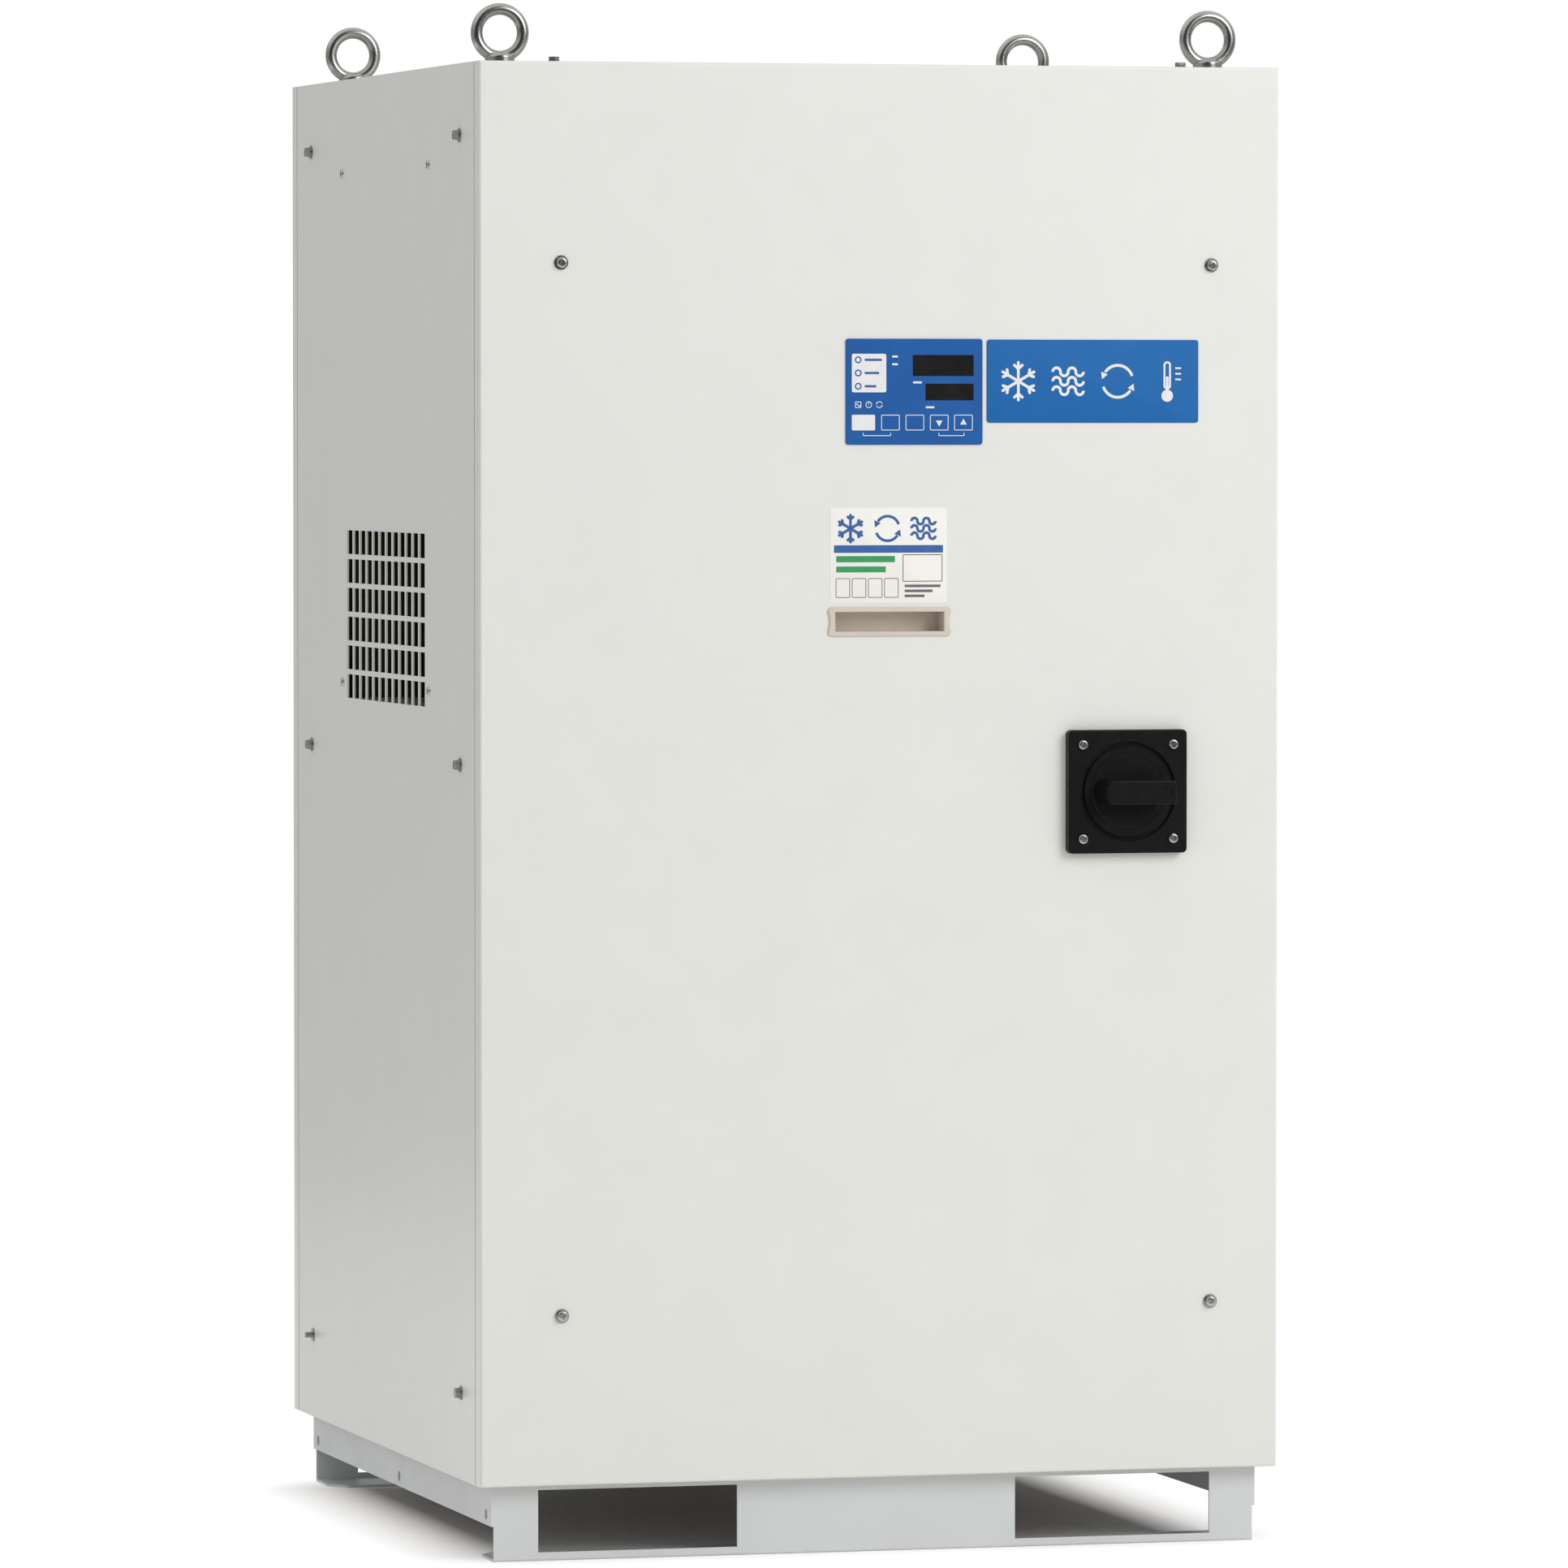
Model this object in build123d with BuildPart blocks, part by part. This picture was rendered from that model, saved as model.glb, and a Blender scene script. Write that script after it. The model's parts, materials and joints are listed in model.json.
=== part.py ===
"""Recirculating chiller: a sheet-metal cabinet on a fork-lift base, in millimetres, +Z up.

X runs left to right across the front, Y runs from the front to the rear and Z = 0 is the floor.
The origin lies on the floor under the middle of the overall envelope.
"""

import os

from build123d import *

# Cabinet
cabinet_width = 700.0
cabinet_depth = 726.0
cabinet_height = 1195.0
panel_sheet = 1.6
bend_radius = 2.0
front_return = 19.0
rear_return = 20.0
panel_gap = 0.4
panel_foot = 10.0

# Screw holes of the front and rear panels, and the brackets that the screws enter
panel_screw_hole = 5.5
panel_screw_left_inset = 70.0
panel_screw_right_inset = 60.0
panel_screw_low = 143.1
panel_screw_high = 1026.7
bracket_width = 24.0
bracket_height = 40.0
bracket_sheet = 2.3
bracket_tapped_hole = 4.2

# Frame inside the cabinet
frame_sheet = 2.3
post_leg = 84.0
rail_sheet = 3.2
top_rail_width = 75.0
top_rail_height = 40.0
cross_rail_width = 45.0

# Base under the cabinet
ground_clearance = 65.0
base_rise = 35.0
base_sheet = 2.3
base_inset = 15.8
foot_width = 64.0
foot_corner_x = 20.0
foot_corner_y = 15.0
base_top_flange = 40.0
fork_width = 173.5
fork_height = 52.8
fork_sill = 7.2
fork_end_web = 38.3
side_rail_lift = 30.0
side_rail_flange = 32.0
side_rail_hole = 9.4
side_rail_hole_rise = 9.0
side_rail_hole_inset = 19.0

# Eye bolts for lifting
eye_outer = 50.0
eye_wire = 10.0
eye_centre_height = 26.3
eye_boss = 25.0
eye_boss_wall = 5.5
eye_boss_height = 9.1
eye_boss_flat = 15.0
eye_shank = 12.0
eye_shank_length = 24.0
eye_hole_clearance = 0.5
eye_inset_x = 37.5
eye_front_inset = 83.0
eye_rear_inset = 83.0
nut_across = 19.0
nut_height = 10.0

# Bolts that hold the side panels
side_bolt = 5.0
side_bolt_hole_clearance = 0.25
side_bolt_across_flats = 8.0
side_bolt_head = 3.7
side_bolt_head_chamfer = 0.5
side_bolt_washer = 12.0
side_bolt_washer_sheet = 1.0
side_bolt_spring = 9.2
side_bolt_spring_height = 1.3
side_bolt_grip = 6.0
side_stud_reach = 7.5
side_bolt_front_inset = 71.0
side_bolt_rear_inset = 80.0
side_bolt_low = 73.7
side_bolt_middle = 604.4
side_bolt_high = 1134.6

# Vent grille in each side panel and the duct behind it
vent_columns = 12
vent_rows = 6
vent_pitch = 25.4
vent_hole = 21.0
vent_centre_from_front = 352.7
vent_centre_height = 724.0
duct_sheet = 1.2
duct_width = 318.0
duct_height = 482.0
duct_depth = 90.0
duct_flange = 15.0
tray_sheet = 1.6
tray_gap = 0.3

# Recessed grip in the front panel
grip_width = 108.0
grip_height = 24.7
grip_rim = 2.0
grip_rim_edge = 1.2
grip_mouth_edge = 0.5
grip_corner = 3.5
grip_waist_length = 15.0
grip_waist_depth = 1.3
grip_waist_blend = 4.0
grip_opening_width = 95.4
grip_opening_height = 16.5
grip_recess = 20.0
grip_wall = 2.0
grip_fit = 0.5
grip_centre_x = 5.5
grip_centre_height = 724.8

# Control panel
control_width = 120.1
control_height = 89.4
control_lip = 1.5
control_corner = 2.5
control_edge = 0.6
control_body_depth = 58.0
control_body_margin = 6.0
control_cutout_fit = 0.5
control_centre_x = 27.1
control_centre_height = 918.9
window_depth = 0.9
upper_window_width = 53.6
upper_window_height = 17.8
upper_window_x = 25.25
upper_window_rise = 22.2
lower_window_width = 42.4
lower_window_height = 14.1
lower_window_x = 30.85
lower_window_rise = -0.15

# Rotary isolator switch
switch_size = 105.0
switch_thickness = 10.0
switch_corner = 4.0
switch_edge = 1.2
switch_right_inset = 136.4
switch_centre_height = 579.5
switch_groove_outer = 85.0
switch_groove_inner = 77.0
switch_groove_depth = 3.0
switch_screw_pitch = 80.0
switch_screw_hole = 4.5
switch_floor = 2.5
disc_diameter = 64.0
disc_gap = 0.35
disc_rest_gap = 0.3
disc_proud = 0.8
disc_edge = 0.8
lever_height = 29.0
lever_foot_tail = 30.6
lever_foot_tip = 24.0
lever_foot_width = 23.0
lever_foot_tail_corner = 9.0
lever_foot_tip_corner = 5.0
lever_waist_height = 11.0
lever_waist_tail = 28.2
lever_waist_tip = 31.0
lever_waist_width = 19.4
lever_waist_tail_corner = 7.5
lever_waist_tip_corner = 4.0
lever_top_tail = 26.7
lever_top_tip = 34.3
lever_top_width = 20.4
lever_top_tail_corner = 6.5
lever_top_tip_corner = 3.0
lever_edge = 1.0
lever_window_length = 9.0
lever_window_width = 7.7
lever_window_depth = 0.8
lever_window_inset = 4.0
shaft_diameter = 10.0
shaft_gap = 0.5
shaft_tail = 34.0
switch_body_size = 62.0
switch_body_corner = 5.0
switch_body_depth = 48.0

# Fluid ports, drain and cable entry in the rear panel
port_across_flats = 41.0
port_bore = 24.1
port_bore_depth = 22.0
port_wall = 2.0
port_chamfer = 1.2
port_reach = 14.0
port_tail = 30.0
port_flange = 52.0
port_flange_thickness = 4.0
port_hole_clearance = 0.5
port_left_inset = 130.0
port_column_pitch = 110.0
port_row_height = 330.0
port_row_pitch = 130.0
drain_left_inset = 350.0
drain_height = 75.0
drain_across_flats = 30.0
drain_flange = 41.0
drain_bore = 14.9
gland_right_inset = 120.0
gland_height = 420.0
gland_across_flats = 46.0
gland_hexagon = 9.0
gland_cap = 41.0
gland_cap_round = 6.0
gland_neck = 32.0
gland_neck_clearance = 0.5
gland_nut = 6.0
gland_bore = 25.0
gland_reach = 30.0
gland_tail = 12.0

# Closed block that stands for the machinery
machinery_width = 470.0
machinery_depth = 500.0
machinery_height = 820.0
machinery_corner = 21.0

# Places worked out from the sizes above
switch_reach = switch_thickness + disc_proud + lever_height
rear_reach = max(port_reach + port_flange_thickness, gland_reach)
front_face = switch_reach - (switch_reach + cabinet_depth + rear_reach) / 2
rear_face = front_face + cabinet_depth
frame_front = front_face + front_return
frame_rear = rear_face - rear_return
frame_length = frame_rear - frame_front
frame_middle = (frame_front + frame_rear) / 2
cabinet_bottom = ground_clearance
cabinet_top = ground_clearance + cabinet_height
half_width = cabinet_width / 2
frame_half_width = half_width - panel_sheet
base_half_width = half_width - base_inset
fork_pitch = 2 * (base_half_width - fork_end_web) - fork_width
side_rail_hole_pitch = (frame_length - 2 * side_rail_hole_inset) / 2
base_top = ground_clearance + base_rise
floor_top = base_top + frame_sheet
frame_top = cabinet_top - panel_sheet
eye_front = front_face + eye_front_inset
eye_rear = rear_face - eye_rear_inset
eye_x = half_width - eye_inset_x
switch_centre_x = half_width - switch_right_inset
switch_height = cabinet_bottom + switch_centre_height
switch_front = front_face - switch_thickness
disc_front = switch_front - disc_proud
panel_screw_xs = (panel_screw_left_inset - half_width, half_width - panel_screw_right_inset)
panel_screw_zs = (cabinet_bottom + panel_screw_low, cabinet_bottom + panel_screw_high)
panel_screws = [(x, z) for x in panel_screw_xs for z in panel_screw_zs]
vent_y = front_face + vent_centre_from_front
vent_z = cabinet_bottom + vent_centre_height
control_height_z = cabinet_bottom + control_centre_height
grip_z = cabinet_bottom + grip_centre_height
side_bolt_ys = (front_face + side_bolt_front_inset, rear_face - side_bolt_rear_inset)
side_bolt_zs = [cabinet_bottom + z for z in (side_bolt_low, side_bolt_middle, side_bolt_high)]


def front_plane(y):
    """A sketch plane that faces the front at depth y: its x is X and its y is Z."""
    return Plane(origin=(0, y, 0), x_dir=(1, 0, 0), z_dir=(0, -1, 0))


def rear_plane(y):
    """A sketch plane at depth y whose extrusions go to the rear: its x is X and its y is -Z."""
    return Plane(origin=(0, y, 0), x_dir=(1, 0, 0), z_dir=(0, 1, 0))


def side_plane(x):
    """A sketch plane at x whose extrusions go to +X: its x is Y and its y is Z."""
    return Plane(origin=(x, 0, 0), x_dir=(0, 1, 0), z_dir=(1, 0, 0))


def save(part, name):
    """Label a finished piece and write it as its own file."""
    part.label = name
    export_step(part, f"parts/{name}.step")


os.makedirs("parts", exist_ok=True)


# Base: two channels with fork openings, joined by a rail on each side
with BuildPart() as base_front:
    with BuildSketch(front_plane(frame_front)):
        with Locations((0, base_top / 2)):
            Rectangle(2 * base_half_width, base_top)
        with Locations((0, fork_sill + fork_height / 2)):
            with GridLocations(fork_pitch, 0, 2, 1):
                Rectangle(fork_width, fork_height, mode=Mode.SUBTRACT)
    extrude(amount=-base_sheet)
    with BuildSketch(Plane.XY) as foot:
        with Locations((0, frame_front + foot_width / 2)):
            Rectangle(2 * base_half_width, foot_width)
        inner_corners = foot.vertices().group_by(Axis.Y)[-1]
        chamfer(inner_corners, length=foot_corner_x, length2=foot_corner_y)
    extrude(amount=base_sheet)
    with BuildSketch(Plane.XY.offset(base_top)):
        with Locations((0, frame_front + base_top_flange / 2)):
            Rectangle(2 * base_half_width, base_top_flange)
    extrude(amount=-base_sheet)
    outer_bends = base_front.edges().filter_by(Axis.X).group_by(Axis.Y)[0]
    fillet(outer_bends.group_by(Axis.Z)[0] + outer_bends.group_by(Axis.Z)[-1], base_sheet)
save(base_front.part, "base_front")

with BuildPart() as base_rear:
    add(base_front.part.mirror(Plane.XZ.offset(-frame_middle)))
save(base_rear.part, "base_rear")

for side, name in ((-1, "left"), (1, "right")):
    with BuildPart() as base_rail:
        with BuildSketch(side_plane(side * base_half_width)):
            with Locations((frame_middle, (side_rail_lift + base_top) / 2)):
                Rectangle(frame_length, base_top - side_rail_lift)
            with Locations((frame_middle, side_rail_lift + side_rail_hole_rise)):
                with GridLocations(side_rail_hole_pitch, 0, 3, 1):
                    Circle(side_rail_hole / 2, mode=Mode.SUBTRACT)
        extrude(amount=side * base_sheet)
        with BuildSketch(Plane.XY.offset(base_top)):
            rail_head_x = side * (base_half_width - side_rail_flange / 2)
            with Locations((rail_head_x, frame_middle)):
                Rectangle(side_rail_flange, frame_length - 2 * base_top_flange)
        extrude(amount=-base_sheet)
    save(base_rail.part, f"base_rail_{name}")

# Floor plate on the base, and the frame that stands on it
with BuildPart() as floor_plate:
    with BuildSketch(Plane.XY.offset(base_top)):
        with Locations((0, frame_middle)):
            Rectangle(2 * frame_half_width, frame_length)
    extrude(amount=frame_sheet)
save(floor_plate.part, "floor_plate")

for depth_side, depth_name in ((-1, "front"), (1, "rear")):
    for side, name in ((-1, "left"), (1, "right")):
        with BuildPart() as post:
            corner_y = frame_front if depth_side < 0 else frame_rear
            with BuildSketch(Plane.XY.offset(floor_top)):
                outer_x = side * (frame_half_width - post_leg / 2)
                with Locations((outer_x, corner_y - depth_side * post_leg / 2)):
                    Rectangle(post_leg, post_leg)
                post_inner = post_leg - frame_sheet
                inner_x = side * (frame_half_width - frame_sheet - post_inner / 2)
                inner_y = corner_y - depth_side * (frame_sheet + post_inner / 2)
                with Locations((inner_x, inner_y)):
                    Rectangle(post_inner, post_inner, mode=Mode.SUBTRACT)
            extrude(amount=frame_top - floor_top)
            with BuildSketch(side_plane(side * frame_half_width)):
                bolt_y = side_bolt_ys[0] if depth_side < 0 else side_bolt_ys[1]
                with Locations(*[(bolt_y, z) for z in side_bolt_zs]):
                    Circle(side_bolt / 2 + side_bolt_hole_clearance)
            extrude(amount=-side * frame_sheet, mode=Mode.SUBTRACT)
        save(post.part, f"post_{depth_name}_{name}")

rail_span = frame_length - 2 * frame_sheet
rail_centre_x = frame_half_width - frame_sheet - top_rail_width / 2
for side, name in ((-1, "left"), (1, "right")):
    with BuildPart() as top_rail:
        with BuildSketch(front_plane(frame_front + frame_sheet)):
            with Locations((side * rail_centre_x, frame_top - top_rail_height / 2)):
                Rectangle(top_rail_width, top_rail_height)
            with Locations((side * rail_centre_x, frame_top - (top_rail_height + rail_sheet) / 2)):
                inner_width = top_rail_width - 2 * rail_sheet
                Rectangle(inner_width, top_rail_height - rail_sheet, mode=Mode.SUBTRACT)
        extrude(amount=-rail_span)
        with BuildSketch(Plane.XY.offset(frame_top - rail_sheet)):
            with Locations((side * eye_x, eye_front), (side * eye_x, eye_rear)):
                RegularPolygon(nut_across / 2, 6, major_radius=False)
        extrude(amount=-nut_height)
        with BuildSketch(Plane.XY.offset(frame_top)):
            with Locations((side * eye_x, eye_front), (side * eye_x, eye_rear)):
                Circle((eye_shank + eye_hole_clearance) / 2)
        extrude(amount=-(rail_sheet + nut_height), mode=Mode.SUBTRACT)
    save(top_rail.part, f"top_rail_{name}")

cross_span = 2 * (frame_half_width - frame_sheet - top_rail_width)
for depth_side, name in ((-1, "front"), (1, "rear")):
    with BuildPart() as cross_rail:
        edge_y = frame_front + frame_sheet if depth_side < 0 else frame_rear - frame_sheet
        with BuildSketch(Plane.XY.offset(frame_top)):
            with Locations((0, edge_y - depth_side * cross_rail_width / 2)):
                Rectangle(cross_span, cross_rail_width)
        extrude(amount=-frame_sheet)
        with BuildSketch(Plane.XY.offset(frame_top)):
            with Locations((0, edge_y - depth_side * frame_sheet / 2)):
                Rectangle(cross_span, frame_sheet)
        extrude(amount=-top_rail_height)
    save(cross_rail.part, f"top_cross_{name}")


# Brackets that carry the screws of the front and rear panels: channels that stand on the posts
for depth_side, name in ((-1, "front"), (1, "rear")):
    post_face = frame_front if depth_side < 0 else frame_rear
    bracket_depth = (front_return if depth_side < 0 else rear_return) - panel_sheet
    with BuildPart() as brackets:
        for screw_z in panel_screw_zs:
            with BuildSketch(Plane.XY.offset(screw_z - bracket_height / 2)):
                with Locations(*[(x, post_face + depth_side * bracket_depth / 2) for x in panel_screw_xs]):
                    Rectangle(bracket_width, bracket_depth)
                channel_depth = bracket_depth - bracket_sheet
                with Locations(*[(x, post_face + depth_side * channel_depth / 2) for x in panel_screw_xs]):
                    Rectangle(bracket_width - 2 * bracket_sheet, channel_depth, mode=Mode.SUBTRACT)
            extrude(amount=bracket_height)
        with BuildSketch(front_plane(post_face)):
            with Locations(*panel_screws):
                Circle(bracket_tapped_hole / 2)
        extrude(amount=-depth_side * bracket_depth, mode=Mode.SUBTRACT)
    save(brackets.part, f"panel_brackets_{name}")


# Front panel: a tray of folded sheet with openings for what it carries
with BuildPart() as front_panel:
    with BuildSketch(front_plane(frame_front)):
        with Locations((0, cabinet_bottom + cabinet_height / 2)):
            Rectangle(cabinet_width, cabinet_height)
    extrude(amount=front_return)
    face_edges = front_panel.faces().sort_by(Axis.Y)[0].edges()
    fillet(face_edges, bend_radius)
    open_face = front_panel.faces().sort_by(Axis.Y)[-1]
    offset(amount=-panel_sheet, openings=open_face)
    with BuildSketch(front_plane(front_face)):
        with Locations((grip_centre_x, grip_z)):
            grip_body_width = grip_opening_width + 2 * grip_wall
            grip_body_height = grip_opening_height + 2 * grip_wall
            Rectangle(grip_body_width + grip_fit, grip_body_height + grip_fit)
        with Locations((control_centre_x, control_height_z)):
            control_body_width = control_width - 2 * control_body_margin
            control_body_height = control_height - 2 * control_body_margin
            Rectangle(control_body_width + control_cutout_fit, control_body_height + control_cutout_fit)
        with Locations((switch_centre_x, switch_height)):
            Circle(shaft_diameter / 2 + shaft_gap)
            with GridLocations(switch_screw_pitch, switch_screw_pitch, 2, 2):
                Circle(switch_screw_hole / 2)
        with Locations(*panel_screws):
            Circle(panel_screw_hole / 2)
    extrude(amount=-panel_sheet, mode=Mode.SUBTRACT)
save(front_panel.part, "front_panel")

# Rear panel: the same tray with holes for the ports
port_first_x = port_left_inset - half_width
port_columns = (port_first_x, port_first_x + port_column_pitch)
port_rows = (port_row_height - port_row_pitch / 2, port_row_height + port_row_pitch / 2)
port_centres = [(x, cabinet_bottom + z) for x in port_columns for z in port_rows]
port_neck = port_bore / 2 + port_wall
drain_neck = drain_bore / 2 + port_wall
drain_x = drain_left_inset - half_width
drain_z = cabinet_bottom + drain_height
gland_x = half_width - gland_right_inset
gland_z = cabinet_bottom + gland_height
with BuildPart() as rear_panel:
    with BuildSketch(rear_plane(frame_rear)):
        with Locations((0, -(cabinet_bottom + cabinet_height / 2))):
            Rectangle(cabinet_width, cabinet_height)
    extrude(amount=rear_return)
    face_edges = rear_panel.faces().sort_by(Axis.Y)[-1].edges()
    fillet(face_edges, bend_radius)
    open_face = rear_panel.faces().sort_by(Axis.Y)[0]
    offset(amount=-panel_sheet, openings=open_face)
    with BuildSketch(front_plane(rear_face)):
        with Locations(*port_centres):
            Circle(port_neck + port_hole_clearance)
        with Locations((drain_x, drain_z)):
            Circle(drain_neck + port_hole_clearance)
        with Locations((gland_x, gland_z)):
            Circle(gland_neck / 2 + gland_neck_clearance)
        with Locations(*panel_screws):
            Circle(panel_screw_hole / 2)
    extrude(amount=panel_sheet, mode=Mode.SUBTRACT)
save(rear_panel.part, "rear_panel")

# Side panels: flat sheet with a short foot at the bottom, a vent grille and bolt holes
side_panel_front = frame_front + panel_gap
side_panel_rear = frame_rear - panel_gap
side_panel_length = side_panel_rear - side_panel_front
side_panel_middle = (side_panel_front + side_panel_rear) / 2
for side, name in ((-1, "left"), (1, "right")):
    with BuildPart() as side_panel:
        with BuildSketch(side_plane(side * frame_half_width)):
            with Locations((side_panel_middle, cabinet_bottom + cabinet_height / 2)):
                Rectangle(side_panel_length, cabinet_height)
        extrude(amount=side * panel_sheet)
        with BuildSketch(Plane.XY.offset(cabinet_bottom)):
            with Locations((side * (half_width - panel_foot / 2), side_panel_middle)):
                Rectangle(panel_foot, side_panel_length)
        extrude(amount=panel_sheet)
        with BuildSketch(side_plane(side * frame_half_width)):
            with Locations((vent_y, vent_z)):
                with GridLocations(vent_pitch, vent_pitch, vent_columns, vent_rows):
                    Rectangle(vent_hole, vent_hole)
            with Locations(*[(y, z) for y in side_bolt_ys for z in side_bolt_zs]):
                Circle(side_bolt / 2 + side_bolt_hole_clearance)
        extrude(amount=side * panel_sheet, mode=Mode.SUBTRACT)
    save(side_panel.part, f"{name}_panel")

# Top panel, between the side panels
with BuildPart() as top_panel:
    with BuildSketch(Plane.XY.offset(frame_top)):
        with Locations((0, frame_middle)):
            Rectangle(2 * (frame_half_width - panel_gap), frame_length - 2 * panel_gap)
        with Locations(*[(x, y) for x in (-eye_x, eye_x) for y in (eye_front, eye_rear)]):
            Circle((eye_shank + eye_hole_clearance) / 2, mode=Mode.SUBTRACT)
    extrude(amount=panel_sheet)
save(top_panel.part, "top_panel")

# Duct behind each vent grille, flanged to the side panel, with a bare tray level with the lowest holes
tray_top = vent_z - ((vent_rows - 1) * vent_pitch + vent_hole) / 2
tray_bottom = tray_top - tray_sheet
duct_bottom = tray_bottom - duct_sheet
duct_centre = (vent_y, duct_bottom + duct_height / 2)
for side, name in ((-1, "left"), (1, "right")):
    with BuildPart() as vent_duct:
        with BuildSketch(side_plane(side * frame_half_width)):
            with Locations(duct_centre):
                Rectangle(duct_width, duct_height)
        extrude(amount=-side * duct_depth)
        open_face = vent_duct.faces().sort_by(Axis.X)[0 if side < 0 else -1]
        offset(amount=-duct_sheet, openings=open_face)
        with BuildSketch(side_plane(side * frame_half_width)):
            for edge in (-1, 1):
                with Locations((vent_y + edge * (duct_width + duct_flange) / 2, duct_centre[1])):
                    Rectangle(duct_flange, duct_height)
        extrude(amount=-side * duct_sheet)
    save(vent_duct.part, f"vent_duct_{name}")

    with BuildPart() as vent_tray:
        with BuildSketch(Plane.XY.offset(tray_bottom)):
            tray_depth = duct_depth - duct_sheet - 2 * tray_gap
            with Locations((side * (frame_half_width - tray_gap - tray_depth / 2), vent_y)):
                Rectangle(tray_depth, duct_width - 2 * (duct_sheet + tray_gap))
        extrude(amount=tray_sheet)
    save(vent_tray.part, f"vent_tray_{name}")


# Eye bolts: a ring that runs down into a boss with a rounded shoulder, on a shank through the top rail
eye_places = {
    "front_left": (-eye_x, eye_front),
    "front_right": (eye_x, eye_front),
    "rear_left": (-eye_x, eye_rear),
    "rear_right": (eye_x, eye_rear),
}
for name, (x, y) in eye_places.items():
    with BuildPart() as eye_bolt:
        with BuildSketch(front_plane(y)):
            with BuildLine():
                shank_and_seat = Polyline(
                    (x, cabinet_top - eye_shank_length),
                    (x + eye_shank / 2, cabinet_top - eye_shank_length),
                    (x + eye_shank / 2, cabinet_top),
                    (x + eye_boss / 2, cabinet_top),
                    (x + eye_boss / 2, cabinet_top + eye_boss_wall),
                )
                shoulder_end = (x + eye_boss_flat / 2, cabinet_top + eye_boss_height)
                shoulder = TangentArc(shank_and_seat @ 1, shoulder_end, tangent=(0, 1))
                Polyline(shoulder @ 1, (x, cabinet_top + eye_boss_height), shank_and_seat @ 0)
            make_face()
        revolve(axis=Axis((x, y, 0), (0, 0, 1)))
        with Locations(Location((x, y, cabinet_top + eye_centre_height), (90, 0, 0))):
            Torus((eye_outer - eye_wire) / 2, eye_wire / 2)
    save(eye_bolt.part, f"eye_bolt_{name}")


# Bolts and studs of the side panels: the lowest one at the rear is a headless stud
for side, name in ((-1, "left"), (1, "right")):
    with BuildPart() as side_bolts:
        face_x = side * half_width
        bolt_places = [(y, z) for y in side_bolt_ys for z in side_bolt_zs]
        stud_place = (side_bolt_ys[1], side_bolt_zs[0])
        headed = [place for place in bolt_places if place != stud_place]
        with BuildSketch(side_plane(face_x)):
            with Locations(*bolt_places):
                Circle(side_bolt_washer / 2)
        extrude(amount=side * side_bolt_washer_sheet)
        washer_face = face_x + side * side_bolt_washer_sheet
        with BuildSketch(side_plane(washer_face)):
            with Locations(*headed):
                Circle(side_bolt_spring / 2)
        extrude(amount=side * side_bolt_spring_height)
        with BuildSketch(side_plane(washer_face + side * side_bolt_spring_height)):
            with Locations(*headed):
                RegularPolygon(side_bolt_across_flats / 2, 6, major_radius=False)
        extrude(amount=side * side_bolt_head)
        head_faces = side_bolts.faces().group_by(Axis.X)[0 if side < 0 else -1]
        chamfer(head_faces.edges(), side_bolt_head_chamfer)
        with BuildSketch(side_plane(face_x)):
            with Locations(stud_place):
                Circle(side_bolt / 2)
        extrude(amount=side * side_stud_reach)
        with BuildSketch(side_plane(face_x)):
            with Locations(*bolt_places):
                Circle(side_bolt / 2)
        extrude(amount=-side * side_bolt_grip)
    save(side_bolts.part, f"side_bolts_{name}")


# Recessed grip: a rim with waisted ends and an open box behind it
waist_radius = (grip_waist_length**2 / 4 + grip_waist_depth**2) / (2 * grip_waist_depth)
with BuildPart() as grip:
    with BuildSketch(front_plane(front_face)) as grip_outline:
        with Locations((grip_centre_x, grip_z)):
            Rectangle(grip_width, grip_height)
            with GridLocations(grip_width + 2 * (waist_radius - grip_waist_depth), 0, 2, 1):
                Circle(waist_radius, mode=Mode.SUBTRACT)
        outline_rows = grip_outline.vertices().group_by(Axis.Y)
        fillet(outline_rows[0] + outline_rows[-1], grip_corner)
        waist_rows = grip_outline.vertices().filter_by_position(
            Axis.Y, grip_z - grip_waist_length / 2 - grip_fit, grip_z + grip_waist_length / 2 + grip_fit
        )
        fillet(waist_rows, grip_waist_blend)
    extrude(amount=grip_rim)
    fillet(grip.faces().sort_by(Axis.Y)[0].edges(), grip_rim_edge)
    with BuildSketch(front_plane(front_face)):
        with Locations((grip_centre_x, grip_z)):
            Rectangle(grip_body_width, grip_body_height)
    extrude(amount=-(grip_recess + grip_wall))
    with BuildSketch(front_plane(front_face - grip_rim)):
        with Locations((grip_centre_x, grip_z)):
            Rectangle(grip_opening_width, grip_opening_height)
    extrude(amount=-(grip_rim + grip_recess), mode=Mode.SUBTRACT)
    chamfer(grip.faces().sort_by(Axis.Y)[0].inner_wires().edges(), grip_mouth_edge)
save(grip.part, "grip")

# Control panel: a faced housing with two sunken windows
window_places = (
    ("upper", upper_window_x, upper_window_rise, upper_window_width, upper_window_height),
    ("lower", lower_window_x, lower_window_rise, lower_window_width, lower_window_height),
)
with BuildPart() as control_panel:
    with BuildSketch(front_plane(front_face)):
        with Locations((control_centre_x, control_height_z)):
            RectangleRounded(control_width, control_height, control_corner)
    extrude(amount=control_lip)
    fillet(control_panel.faces().sort_by(Axis.Y)[0].edges(), control_edge)
    with BuildSketch(front_plane(front_face)):
        with Locations((control_centre_x, control_height_z)):
            Rectangle(control_body_width, control_body_height)
    extrude(amount=-control_body_depth)
    with BuildSketch(front_plane(front_face - control_lip)):
        for _, x, rise, width, height in window_places:
            with Locations((control_centre_x + x, control_height_z + rise)):
                Rectangle(width, height)
    extrude(amount=-window_depth, mode=Mode.SUBTRACT)
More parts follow.
